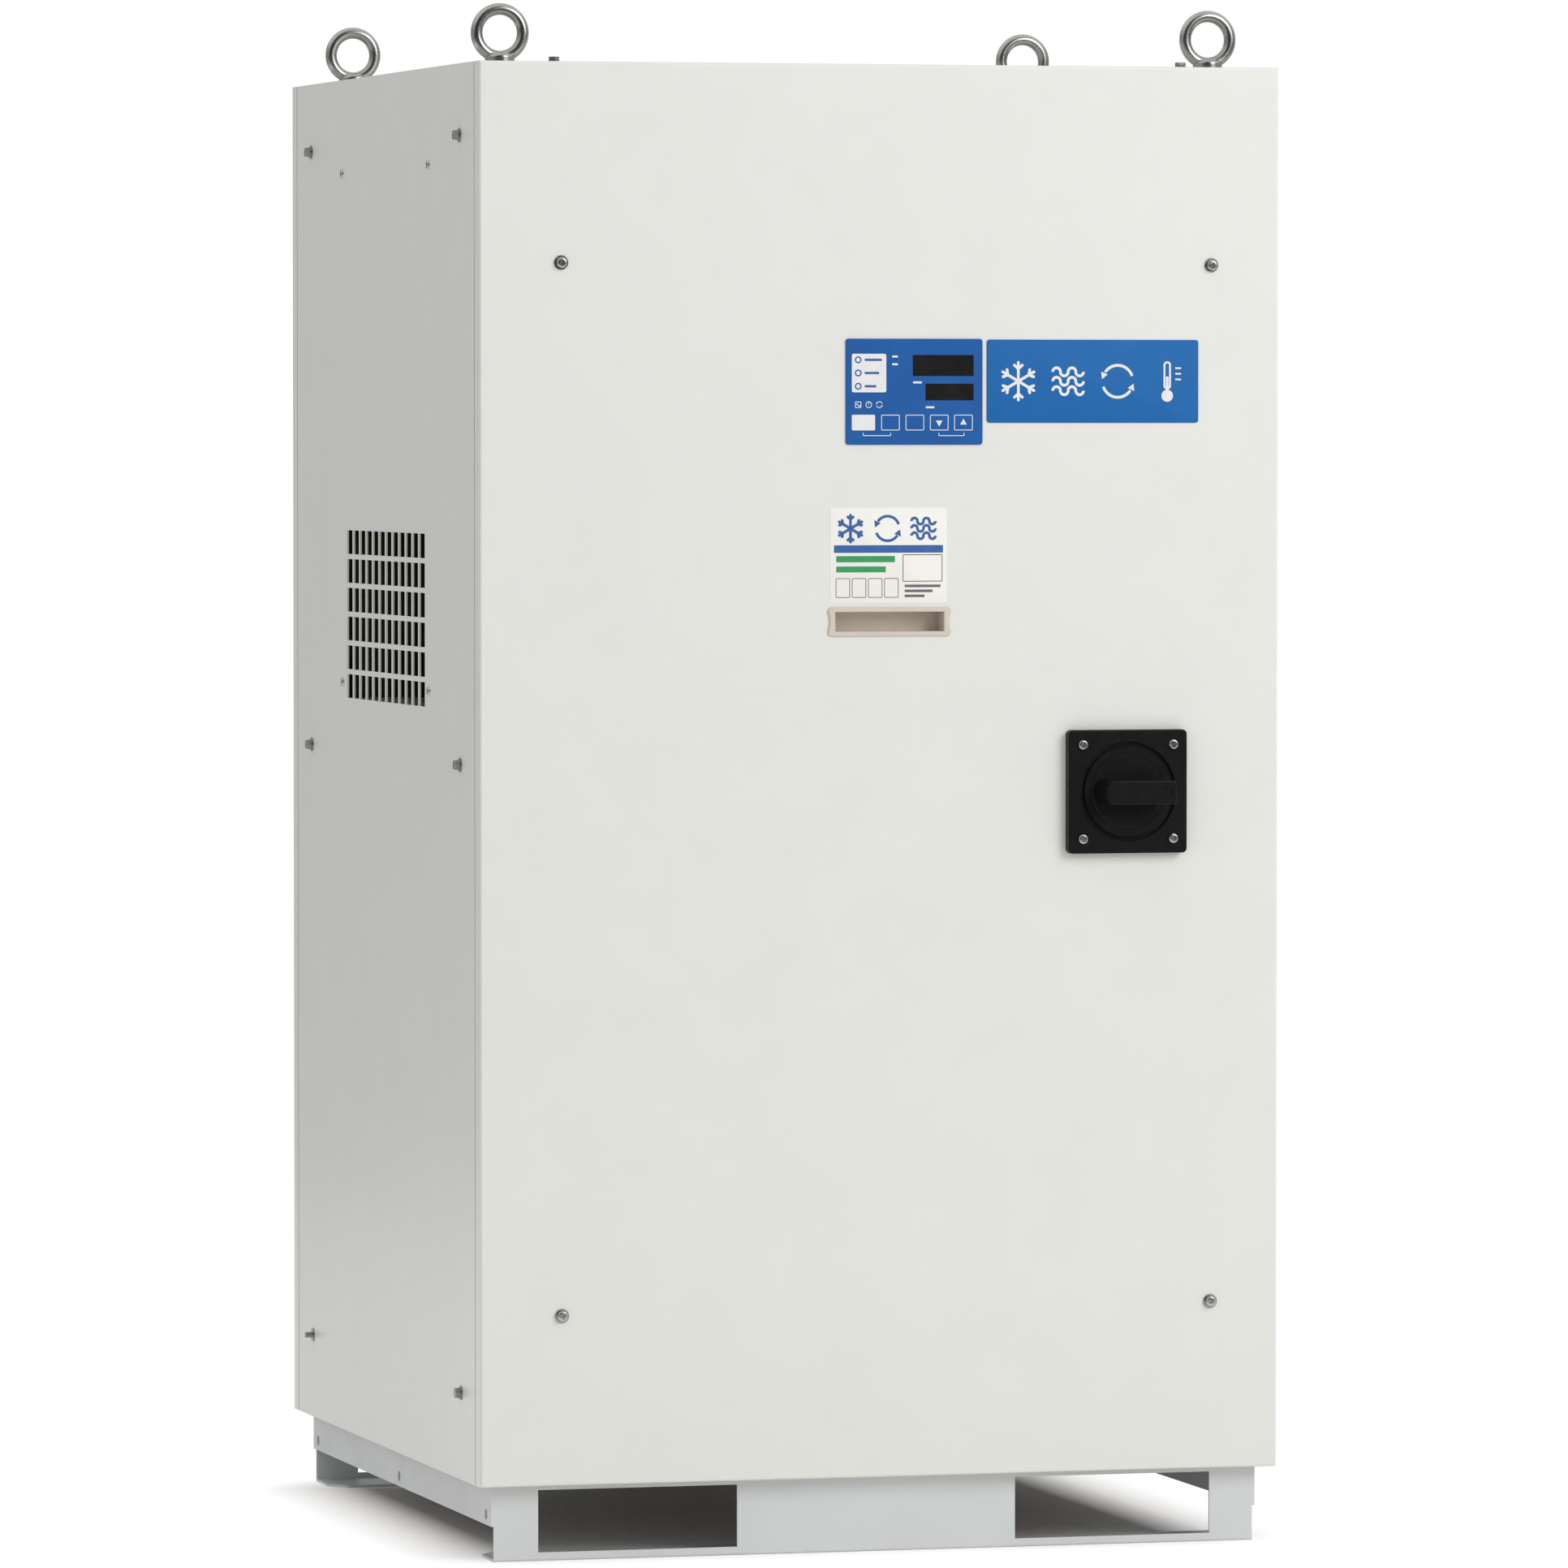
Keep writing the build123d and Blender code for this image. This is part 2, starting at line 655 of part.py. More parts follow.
save(control_panel.part, "control_panel")

for name, x, rise, width, height in window_places:
    with BuildPart() as window:
        with BuildSketch(front_plane(front_face - control_lip)):
            with Locations((control_centre_x + x, control_height_z + rise)):
                Rectangle(width, height)
        extrude(amount=-window_depth)
    save(window.part, f"display_{name}")


# Rotary switch: a grooved plate, and a disc and lever that turn in it
with BuildPart() as switch_plate:
    with BuildSketch(front_plane(front_face)):
        with Locations((switch_centre_x, switch_height)):
            RectangleRounded(switch_size, switch_size, switch_corner)
    extrude(amount=switch_thickness)
    fillet(switch_plate.faces().sort_by(Axis.Y)[0].edges(), switch_edge)
    with BuildSketch(front_plane(switch_front)):
        with Locations((switch_centre_x, switch_height)):
            Circle(switch_groove_outer / 2)
            Circle(switch_groove_inner / 2, mode=Mode.SUBTRACT)
    extrude(amount=-switch_groove_depth, mode=Mode.SUBTRACT)
    with BuildSketch(front_plane(switch_front)):
        with Locations((switch_centre_x, switch_height)):
            Circle(disc_diameter / 2 + disc_gap)
    extrude(amount=-(switch_thickness - switch_floor), mode=Mode.SUBTRACT)
    with BuildSketch(front_plane(switch_front)):
        with Locations((switch_centre_x, switch_height)):
            Circle(shaft_diameter / 2 + shaft_gap)
            with GridLocations(switch_screw_pitch, switch_screw_pitch, 2, 2):
                Circle(switch_screw_hole / 2)
    extrude(amount=-switch_thickness, mode=Mode.SUBTRACT)
save(switch_plate.part, "switch_plate")

disc_thickness = switch_thickness - switch_floor - disc_rest_gap + disc_proud
with BuildPart() as switch_disc:
    with BuildSketch(front_plane(disc_front)):
        with Locations((switch_centre_x, switch_height)):
            Circle(disc_diameter / 2)
    extrude(amount=-disc_thickness)
    chamfer(switch_disc.faces().sort_by(Axis.Y)[0].edges(), disc_edge)
    with BuildSketch(front_plane(disc_front)):
        with Locations((switch_centre_x, switch_height)):
            Circle(shaft_diameter / 2)
    extrude(amount=-(disc_thickness + shaft_tail))
save(switch_disc.part, "switch_disc")

# Lever: lofted from a flared foot, through a slimmer waist, to a top that reaches past the disc
lever_sections = (
    (
        0.0,
        lever_foot_tail,
        lever_foot_tip,
        lever_foot_width,
        lever_foot_tail_corner,
        lever_foot_tip_corner,
    ),
    (
        lever_waist_height,
        lever_waist_tail,
        lever_waist_tip,
        lever_waist_width,
        lever_waist_tail_corner,
        lever_waist_tip_corner,
    ),
    (
        lever_height,
        lever_top_tail,
        lever_top_tip,
        lever_top_width,
        lever_top_tail_corner,
        lever_top_tip_corner,
    ),
)
with BuildPart() as switch_lever:
    for rise, tail, tip, width, tail_corner, tip_corner in lever_sections:
        with BuildSketch(front_plane(disc_front - rise)) as section:
            with Locations((switch_centre_x + (tip - tail) / 2, switch_height)):
                Rectangle(tail + tip, width)
            fillet(section.vertices().group_by(Axis.X)[0], tail_corner)
            fillet(section.vertices().group_by(Axis.X)[-1], tip_corner)
    loft()
    lever_top = disc_front - lever_height
    fillet(switch_lever.faces().sort_by(Axis.Y)[0].edges(), lever_edge)
    with BuildSketch(front_plane(lever_top)):
        window_x = switch_centre_x + lever_top_tip - lever_window_inset - lever_window_length / 2
        with Locations((window_x, switch_height)):
            Rectangle(lever_window_length, lever_window_width)
    extrude(amount=-lever_window_depth, mode=Mode.SUBTRACT)
save(switch_lever.part, "switch_lever")

# Switch body behind the front panel, bored for the shaft
with BuildPart() as switch_body:
    with BuildSketch(front_plane(front_face + panel_sheet)):
        with Locations((switch_centre_x, switch_height)):
            RectangleRounded(switch_body_size, switch_body_size, switch_body_corner)
            Circle(shaft_diameter / 2 + shaft_gap, mode=Mode.SUBTRACT)
    extrude(amount=-switch_body_depth)
save(switch_body.part, "switch_body")


# Fluid ports: a hexagon and flange outside, a bored neck through the panel
def fitting(x, z, across_flats, bore, neck, flange):
    """One screwed port on the rear panel with its bore open to the rear."""
    with BuildPart() as port:
        with BuildSketch(rear_plane(rear_face)):
            with Locations((x, -z)):
                Circle(flange / 2)
        extrude(amount=port_flange_thickness)
        with BuildSketch(rear_plane(rear_face + port_flange_thickness)):
            with Locations((x, -z)):
                RegularPolygon(across_flats / 2, 6, major_radius=False)
        extrude(amount=port_reach)
        chamfer(port.faces().sort_by(Axis.Y)[-1].edges(), port_chamfer)
        with BuildSketch(rear_plane(rear_face)):
            with Locations((x, -z)):
                Circle(neck)
        extrude(amount=-port_tail)
        with BuildSketch(rear_plane(rear_face + port_flange_thickness + port_reach)):
            with Locations((x, -z)):
                Circle(bore / 2)
        extrude(amount=-port_bore_depth, mode=Mode.SUBTRACT)
    return port.part


port_names = ("water_in", "water_out", "fluid_return", "fluid_outlet")
for name, (x, z) in zip(port_names, port_centres):
    save(fitting(x, z, port_across_flats, port_bore, port_neck, port_flange), f"port_{name}")

save(fitting(drain_x, drain_z, drain_across_flats, drain_bore, drain_neck, drain_flange), "port_drain")

# Cable gland: a hexagon and a domed cap outside, a neck through the panel and its nut inside
with BuildPart() as cable_gland:
    with BuildSketch(rear_plane(rear_face)):
        with Locations((gland_x, -gland_z)):
            RegularPolygon(gland_across_flats / 2, 6, major_radius=False)
    extrude(amount=gland_hexagon)
    with BuildSketch(rear_plane(rear_face + gland_hexagon)):
        with Locations((gland_x, -gland_z)):
            Circle(gland_cap / 2)
    extrude(amount=gland_reach - gland_hexagon)
    fillet(cable_gland.faces().sort_by(Axis.Y)[-1].edges(), gland_cap_round)
    with BuildSketch(rear_plane(rear_face)):
        with Locations((gland_x, -gland_z)):
            Circle(gland_neck / 2)
    extrude(amount=-gland_tail)
    with BuildSketch(rear_plane(rear_face - panel_sheet)):
        with Locations((gland_x, -gland_z)):
            RegularPolygon(gland_across_flats / 2, 6, major_radius=False)
    extrude(amount=-gland_nut)
    with BuildSketch(rear_plane(rear_face + gland_reach)):
        with Locations((gland_x, -gland_z)):
            Circle(gland_bore / 2)
    extrude(amount=-(gland_reach + gland_tail), mode=Mode.SUBTRACT)
save(cable_gland.part, "cable_gland")

# Machinery: one closed block on the floor plate
with BuildPart() as machinery:
    with BuildSketch(Plane.XY.offset(floor_top)):
        with Locations((0, frame_middle)):
            RectangleRounded(machinery_width, machinery_depth, machinery_corner)
    extrude(amount=machinery_height)
save(machinery.part, "machinery_block")
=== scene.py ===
"""Looks of a recirculating chiller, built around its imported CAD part.

Sizes and places are written in millimetres in the part's own frame, and Side.place sets them to metres.
"""

import json
import logging
import math
from collections.abc import Sequence
from dataclasses import dataclass
from enum import Enum

import bmesh
import bpy
from mathutils import Matrix, Vector

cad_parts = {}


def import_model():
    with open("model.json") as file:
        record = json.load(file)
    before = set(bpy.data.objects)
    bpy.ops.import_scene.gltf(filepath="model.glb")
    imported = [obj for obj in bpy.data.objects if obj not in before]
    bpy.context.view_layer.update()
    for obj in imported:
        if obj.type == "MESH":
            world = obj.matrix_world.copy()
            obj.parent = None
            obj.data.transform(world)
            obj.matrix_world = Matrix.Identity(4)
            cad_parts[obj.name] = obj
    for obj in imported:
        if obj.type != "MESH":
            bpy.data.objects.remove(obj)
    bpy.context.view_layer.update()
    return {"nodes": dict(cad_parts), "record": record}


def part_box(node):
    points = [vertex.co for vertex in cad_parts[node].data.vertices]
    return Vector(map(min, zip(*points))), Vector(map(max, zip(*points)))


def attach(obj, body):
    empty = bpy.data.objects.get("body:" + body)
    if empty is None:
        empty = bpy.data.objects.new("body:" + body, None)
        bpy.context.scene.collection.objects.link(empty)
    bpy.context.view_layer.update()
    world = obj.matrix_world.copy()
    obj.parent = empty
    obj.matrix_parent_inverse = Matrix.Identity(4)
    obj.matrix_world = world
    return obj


log = logging.getLogger("chiller")

MM = 0.001
PORT_NAMES = ("port_water_in", "port_water_out", "port_fluid_return", "port_fluid_outlet")

SMOOTH_BELOW = math.radians(32)
MERGE_DISTANCE = 0.0005
CUT_DISTANCE = 1e-5
LEVEL_DISTANCE = 1e-4
CORNER_SEGMENTS = 6
EDGE_SEGMENTS = 3
OUTLINE_SEGMENTS = 5
ROUND_SIDES = 40
ARC_STEP = 10
LEAST_ARC_STEPS = 4
FACING_UP = 0.3
RECESS_TAPER = 0.75

NOISE_ROUGHNESS = 0.55
WIDE_NOISE = (0.3, 0.7)
NARROW_NOISE = (0.35, 0.65)

Point = tuple[float, float, float]
Span = tuple[float, float]
Socket = bpy.types.NodeSocket


class Body(str, Enum):
    """The CAD body that pieces ride on."""

    CABINET = "cabinet"


class Slot(str, Enum):
    """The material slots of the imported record."""

    CABINET_PAINT = "cabinet_paint"
    BASE_PAINT = "base_paint"
    FRAME_STEEL = "frame_steel"
    TRAY_STEEL = "tray_steel"
    DUCT_BLACK = "duct_black"
    POLISHED_STEEL = "polished_steel"
    BOLT_STEEL = "bolt_steel"
    SWITCH_BLACK = "switch_black"
    GRIP_BEIGE = "grip_beige"
    PANEL_BLUE = "panel_blue"
    DISPLAY_BLACK = "display_black"
    PORT_STEEL = "port_steel"
    GLAND_GREY = "gland_grey"
    MACHINERY_GREY = "machinery_grey"


class Side(Enum):
    """A side of the cabinet, by its right, up and outward directions for someone who faces it."""

    FRONT = ((1, 0, 0), (0, 0, 1), (0, -1, 0))
    REAR = ((-1, 0, 0), (0, 0, 1), (0, 1, 0))
    LEFT = ((0, -1, 0), (0, 0, 1), (-1, 0, 0))
    RIGHT = ((0, 1, 0), (0, 0, 1), (1, 0, 0))
    TOP = ((1, 0, 0), (0, 1, 0), (0, 0, 1))

    def place(self, origin: Point) -> Matrix:
        """Gives the matrix from millimetres on this side to metres in the part's frame."""
        turn = Matrix([Vector(axis) for axis in self.value]).transposed().to_4x4()
        return Matrix.Scale(MM, 4) @ Matrix.Translation(Vector(origin)) @ turn


@dataclass(frozen=True)
class Tone:
    """A colour as it reads on a screen, from 0 to 255 in each channel."""

    red: float
    green: float
    blue: float

    def linear(self) -> tuple[float, ...]:
        """Gives the colour as shaders take it, by the standard curve of screens."""
        shares = [channel / 255 for channel in (self.red, self.green, self.blue)]
        return (*[part / 12.92 if part <= 0.04045 else ((part + 0.055) / 1.055) ** 2.4 for part in shares], 1.0)

    def scaled(self, share: float) -> "Tone":
        """Gives the same hue, darker below a share of 1 and lighter above it."""
        return Tone(*[min(255.0, channel * share) for channel in (self.red, self.green, self.blue)])


WHITE = Tone(255, 255, 255)


class Graph:
    """The node tree of a material or of the world, filled from an empty one."""

    def __init__(self, tree: bpy.types.NodeTree) -> None:
        """Empties the tree and keeps it."""
        tree.nodes.clear()
        self.tree = tree

    def add(self, kind: str, inputs: dict[str | int, object] | None = None, **settings: object) -> bpy.types.Node:
        """Adds one node.

        Args:
            kind: the node's type.
            inputs: a value or another node's output for each named or numbered socket.
            settings: the node's own settings.

        Returns:
            The new node.
        """
        node = self.tree.nodes.new(kind)
        for name, value in settings.items():
            setattr(node, name, value)
        for key, value in (inputs or {}).items():
            if isinstance(value, Socket):
                self.tree.links.new(value, node.inputs[key])
            else:
                node.inputs[key].default_value = value
        return node

    def noise(self, place: Socket, size: float, detail: float = 3.0) -> Socket:
        """Adds a noise about 0.5, with blotches of a size in millimetres and some layers of finer detail."""
        inputs = {"Vector": place, "Scale": 1 / (size * MM), "Detail": detail, "Roughness": NOISE_ROUGHNESS}
        return self.add("ShaderNodeTexNoise", inputs).outputs["Fac"]

    def ramp(self, value: Socket, span: Span, start: float, end: float) -> Socket:
        """Stretches a value's span to a range from start to end, and holds it inside."""
        inputs = {"Value": value, "From Min": span[0], "From Max": span[1], "To Min": start, "To Max": end}
        return self.add("ShaderNodeMapRange", inputs, clamp=True).outputs["Result"]

    def blend(self, share: Socket, first: Tone | Socket, second: Tone | Socket) -> Socket:
        """Mixes two colours, with the second one shown at a share of 1."""
        colours = [colour.linear() if isinstance(colour, Tone) else colour for colour in (first, second)]
        return self.add("ShaderNodeMix", {0: share, 6: colours[0], 7: colours[1]}, data_type="RGBA").outputs[2]

    def bump(self, height: Socket, depth: float, below: Socket | None = None) -> Socket:
        """Adds fine relief.

        Args:
            height: the relief, from 0 to 1.
            depth: how deep it is, in millimetres.
            below: the normal of the relief that it lies on.

        Returns:
            The normal.
        """
        inputs: dict[str | int, object] = {"Strength": 1.0, "Distance": depth * MM, "Height": height}
        if below is not None:
            inputs["Normal"] = below
        return self.add("ShaderNodeBump", inputs).outputs["Normal"]

    def vector(self, operation: str, first: Socket, second: Socket | Point = (0.0, 0.0, 0.0)) -> Socket:
        """Works on two vectors, part by part."""
        return self.add("ShaderNodeVectorMath", {0: first, 1: second}, operation=operation).outputs["Vector"]

    def number(self, operation: str, first: Socket, second: Socket) -> Socket:
        """Works on two values."""
        return self.add("ShaderNodeMath", {0: first, 1: second}, operation=operation).outputs[0]

    def mix(self, share: Socket, first: bpy.types.Node, second: bpy.types.Node) -> bpy.types.Node:
        """Mixes two shaders, with the second one shown at a share of 1."""
        return self.add("ShaderNodeMixShader", {0: share, 1: first.outputs[0], 2: second.outputs[0]})

    def finish(self, shader: bpy.types.Node, kind: str = "ShaderNodeOutputMaterial") -> None:
        """Links a shader to the tree's output."""
        self.add(kind, {"Surface": shader.outputs[0]})


@dataclass(frozen=True)
class Finish:
    """How a surface looks: its colour, its gloss and its fine relief, with sizes in millimetres."""

    name: str
    tone: Tone
    roughness: float = 0.5
    roughness_spread: float = 0.06
    metallic: float = 0.0
    specular: float = 0.5
    coat: float = 0.0
    coat_roughness: float = 0.15
    blotch: float = 0.03
    blotch_size: float = 70.0
    gloss_fineness: float = 3.0
    grain_size: float = 0.9
    grain_detail: float = 2.0
    grain_depth: float = 0.012

    def material(self) -> bpy.types.Material:
        """Makes the finish's material on its first use.

        Returns:
            The material.
        """
        known = bpy.data.materials.get(self.name)
        if known:
            return known
        material = bpy.data.materials.new(self.name)
        material.use_nodes = True
        graph = Graph(material.node_tree)
        place = graph.add("ShaderNodeTexCoord").outputs["Object"]
        inputs = {
            "Base Color": self.colour(graph, place),
            "Roughness": self.gloss(graph, place),
            "Normal": self.relief(graph, place),
            "Metallic": self.metallic,
            "Specular IOR Level": self.specular,
            "Coat Weight": self.coat,
            "Coat Roughness": self.coat_roughness,
        }
        graph.finish(graph.add("ShaderNodeBsdfPrincipled", inputs))
        return material

    def colour(self, graph: Graph, place: Socket) -> Socket:
        """Adds the colour, with faint blotches."""
        share = graph.ramp(graph.noise(place, self.blotch_size), WIDE_NOISE, 0.0, 1.0)
        return graph.blend(share, self.tone.scaled(1 - self.blotch), self.tone.scaled(1 + self.blotch))

    def gloss(self, graph: Graph, place: Socket) -> Socket:
        """Adds the roughness, which varies a little over the surface."""
        spread, noise = self.roughness_spread, graph.noise(place, self.blotch_size / self.gloss_fineness)
        return graph.ramp(noise, WIDE_NOISE, self.roughness - spread, self.roughness + spread)

    def relief(self, graph: Graph, place: Socket) -> Socket:
        """Adds the fine grain."""
        return graph.bump(graph.noise(place, self.grain_size, self.grain_detail), self.grain_depth)


@dataclass(frozen=True)
class PowderCoat(Finish):
    """Baked powder paint with a faint orange peel, and a thin film of dust near the floor."""

    peel_size: float = 2.6
    peel_detail: float = 1.0
    peel_depth: float = 0.02
    dust: Tone = Tone(196, 192, 184)
    dust_share: float = 0.12
    dust_least: float = 0.3
    dust_height: float = 0.25
    dust_fineness: float = 2.0

    def colour(self, graph: Graph, place: Socket) -> Socket:
        """Adds the paint's colour under the dust.

        Args:
            graph: the material's node tree.
            place: the coordinates.

        Returns:
            The colour.
        """
        height = graph.add("ShaderNodeSeparateXYZ", {0: place}).outputs["Z"]
        low = graph.ramp(height, (0.0, self.dust_height), self.dust_share, 0.0)
        noise = graph.noise(place, self.blotch_size / self.dust_fineness)
        share = graph.number("MULTIPLY", low, graph.ramp(noise, NARROW_NOISE, self.dust_least, 1.0))
        return graph.blend(share, super().colour(graph, place), self.dust)

    def relief(self, graph: Graph, place: Socket) -> Socket:
        """Adds the orange peel over the grain."""
        peel = graph.noise(place, self.peel_size, self.peel_detail)
        return graph.bump(peel, self.peel_depth, super().relief(graph, place))


@dataclass(frozen=True)
class PlatedSteel(Finish):
    """Sheet steel under bright zinc, with a faint spangle."""

    spangle_size: float = 9.0
    spangle: float = 0.12
    spangle_shade: float = 0.6

    def colour(self, graph: Graph, place: Socket) -> Socket:
        """Adds the spangle over the blotches.

        Args:
            graph: the material's node tree.
            place: the coordinates.

        Returns:
            The colour.
        """
        cell = graph.add("ShaderNodeTexVoronoi", {"Vector": place, "Scale": 1 / (self.spangle_size * MM)})
        shade = graph.add("ShaderNodeSeparateColor", {0: cell.outputs["Color"]}).outputs[0]
        share = graph.ramp(shade, (0.0, 1.0), 0.0, self.spangle)
        return graph.blend(share, super().colour(graph, place), self.tone.scaled(self.spangle_shade))


@dataclass(frozen=True)
class BrushedSteel(Finish):
    """Polished steel with fine lines left by the wheel."""

    metallic: float = 1.0
    line_size: float = 0.5
    line_stretch: float = 14.0
    line_depth: float = 0.003

    def relief(self, graph: Graph, place: Socket) -> Socket:
        """Adds the wheel's lines, long across and fine upwards.

        Args:
            graph: the material's node tree.
            place: the coordinates.

        Returns:
            The normal.
        """
        stretched = graph.add("ShaderNodeMapping", {"Vector": place, "Scale": (1, 1, self.line_stretch)})
        lines = graph.noise(stretched.outputs[0], self.line_size * self.line_stretch, self.grain_detail)
        return graph.bump(lines, self.line_depth, super().relief(graph, place))


@dataclass(frozen=True)
class MouldedPlastic(Finish):
    """Moulded plastic with the fine pits of a spark-eroded mould."""

    pit_size: float = 0.45
    pit_depth: float = 0.015

    def relief(self, graph: Graph, place: Socket) -> Socket:
        """Adds the mould's pits over the grain."""
        pits = graph.add("ShaderNodeTexVoronoi", {"Vector": place, "Scale": 1 / (self.pit_size * MM)})
        return graph.bump(pits.outputs["Distance"], self.pit_depth, super().relief(graph, place))


@dataclass(frozen=True)
class MembraneFilm(Finish):
    """Printed polyester film with a fine velvet grain."""

    weave_size: float = 0.6
    weave_depth: float = 0.006

    def relief(self, graph: Graph, place: Socket) -> Socket:
        """Adds the film's velvet grain."""
        weave = graph.noise(place, self.weave_size, detail=0.0)
        return graph.bump(weave, self.weave_depth, super().relief(graph, place))


@dataclass(frozen=True)
class PrintedInk(Finish):
    """Ink laid on through a screen, a little thicker in places."""

    blotch: float = 0.04
    blotch_size: float = 9.0
    mesh_size: float = 0.35
    mesh_share: float = 0.25

    def colour(self, graph: Graph, place: Socket) -> Socket:
        """Adds the faint marks of the screen's mesh."""
        marks = graph.ramp(graph.noise(place, self.mesh_size, detail=0.0), NARROW_NOISE, 0.0, self.mesh_share)
        return graph.blend(marks, super().colour(graph, place), self.tone.scaled(1 - 2 * self.blotch))


CABINET_PAINT = PowderCoat(
    "cabinet_powder_coat", Tone(230, 233, 229), roughness=0.32, roughness_spread=0.03, blotch=0.005
)
BASE_PAINT = PowderCoat("base_powder_coat", Tone(213, 218, 220), roughness=0.45, blotch=0.012, dust_height=0.12)
MACHINERY_GREY = PowderCoat("machinery_grey_paint", Tone(96, 99, 102), roughness=0.55, blotch=0.05)
FRAME_STEEL = PlatedSteel("frame_plated_steel", Tone(176, 178, 178), roughness=0.42, metallic=0.9)
TRAY_STEEL = PlatedSteel("tray_plated_steel", Tone(190, 192, 190), roughness=0.4, metallic=0.85, spangle_size=6.0)
RING_STEEL = BrushedSteel("ring_polished_steel", Tone(172, 171, 168), roughness=0.27, roughness_spread=0.04)
BOLT_STEEL = BrushedSteel("bolt_plated_steel", Tone(150, 149, 144), roughness=0.32)
PORT_STEEL = BrushedSteel("port_stainless_steel", Tone(190, 189, 185), roughness=0.3)
SCREW_STEEL = BrushedSteel("screw_bright_steel", Tone(188, 187, 183), roughness=0.28, blotch_size=12.0)
DUCT_LINING = MouldedPlastic("duct_lining", Tone(34, 34, 35), roughness=0.75, specular=0.3, blotch=0.12)
SWITCH_BLACK = MouldedPlastic(
    "switch_black_plastic", Tone(16, 16, 17), roughness=0.42, specular=0.18, blotch=0.08, blotch_size=18.0
)
GRIP_BEIGE = MouldedPlastic("grip_beige_plastic", Tone(212, 202, 191), blotch=0.02, blotch_size=30.0)
GLAND_GREY = MouldedPlastic("gland_grey_plastic", Tone(120, 123, 126), blotch_size=20.0)
# Painted shade: a flat grey laid on the panel seams in the place of their shadow lines.
SEAM_SHADE_GREY = MouldedPlastic("seam_shade_grey", Tone(96, 96, 95), roughness=0.7, specular=0.2, blotch_size=12.0)
PANEL_BLUE = MembraneFilm("keypad_blue_film", Tone(30, 92, 165), specular=0.16, blotch_size=25.0)
DISPLAY_BLACK = MembraneFilm("display_smoked_window", Tone(26, 27, 29), roughness=0.2, coat=0.4, blotch=0.1)
SIGN_BLUE = MembraneFilm("sign_blue_enamel", Tone(28, 104, 174), specular=0.16, blotch=0.02, blotch_size=40.0)
LABEL_FILM = MembraneFilm("label_white_film", Tone(240, 240, 235), roughness=0.4, blotch=0.008, blotch_size=30.0)
INK_WHITE = PrintedInk("ink_white", Tone(232, 234, 236), blotch=0.02)
INK_BLUE = PrintedInk("ink_blue", Tone(45, 98, 168))
INK_GREEN = PrintedInk("ink_green", Tone(45, 160, 90))
INK_GREY = PrintedInk("ink_grey", Tone(105, 105, 108))

SLOT_FINISHES: dict[Slot, Finish] = {
    Slot.CABINET_PAINT: CABINET_PAINT,
    Slot.BASE_PAINT: BASE_PAINT,
    Slot.FRAME_STEEL: FRAME_STEEL,
    Slot.TRAY_STEEL: TRAY_STEEL,
    Slot.DUCT_BLACK: DUCT_LINING,
    Slot.POLISHED_STEEL: RING_STEEL,
    Slot.BOLT_STEEL: BOLT_STEEL,
    Slot.SWITCH_BLACK: SWITCH_BLACK,
    Slot.GRIP_BEIGE: GRIP_BEIGE,
    Slot.PANEL_BLUE: PANEL_BLUE,
    Slot.DISPLAY_BLACK: DISPLAY_BLACK,
    Slot.PORT_STEEL: PORT_STEEL,
    Slot.GLAND_GREY: GLAND_GREY,
    Slot.MACHINERY_GREY: MACHINERY_GREY,
}


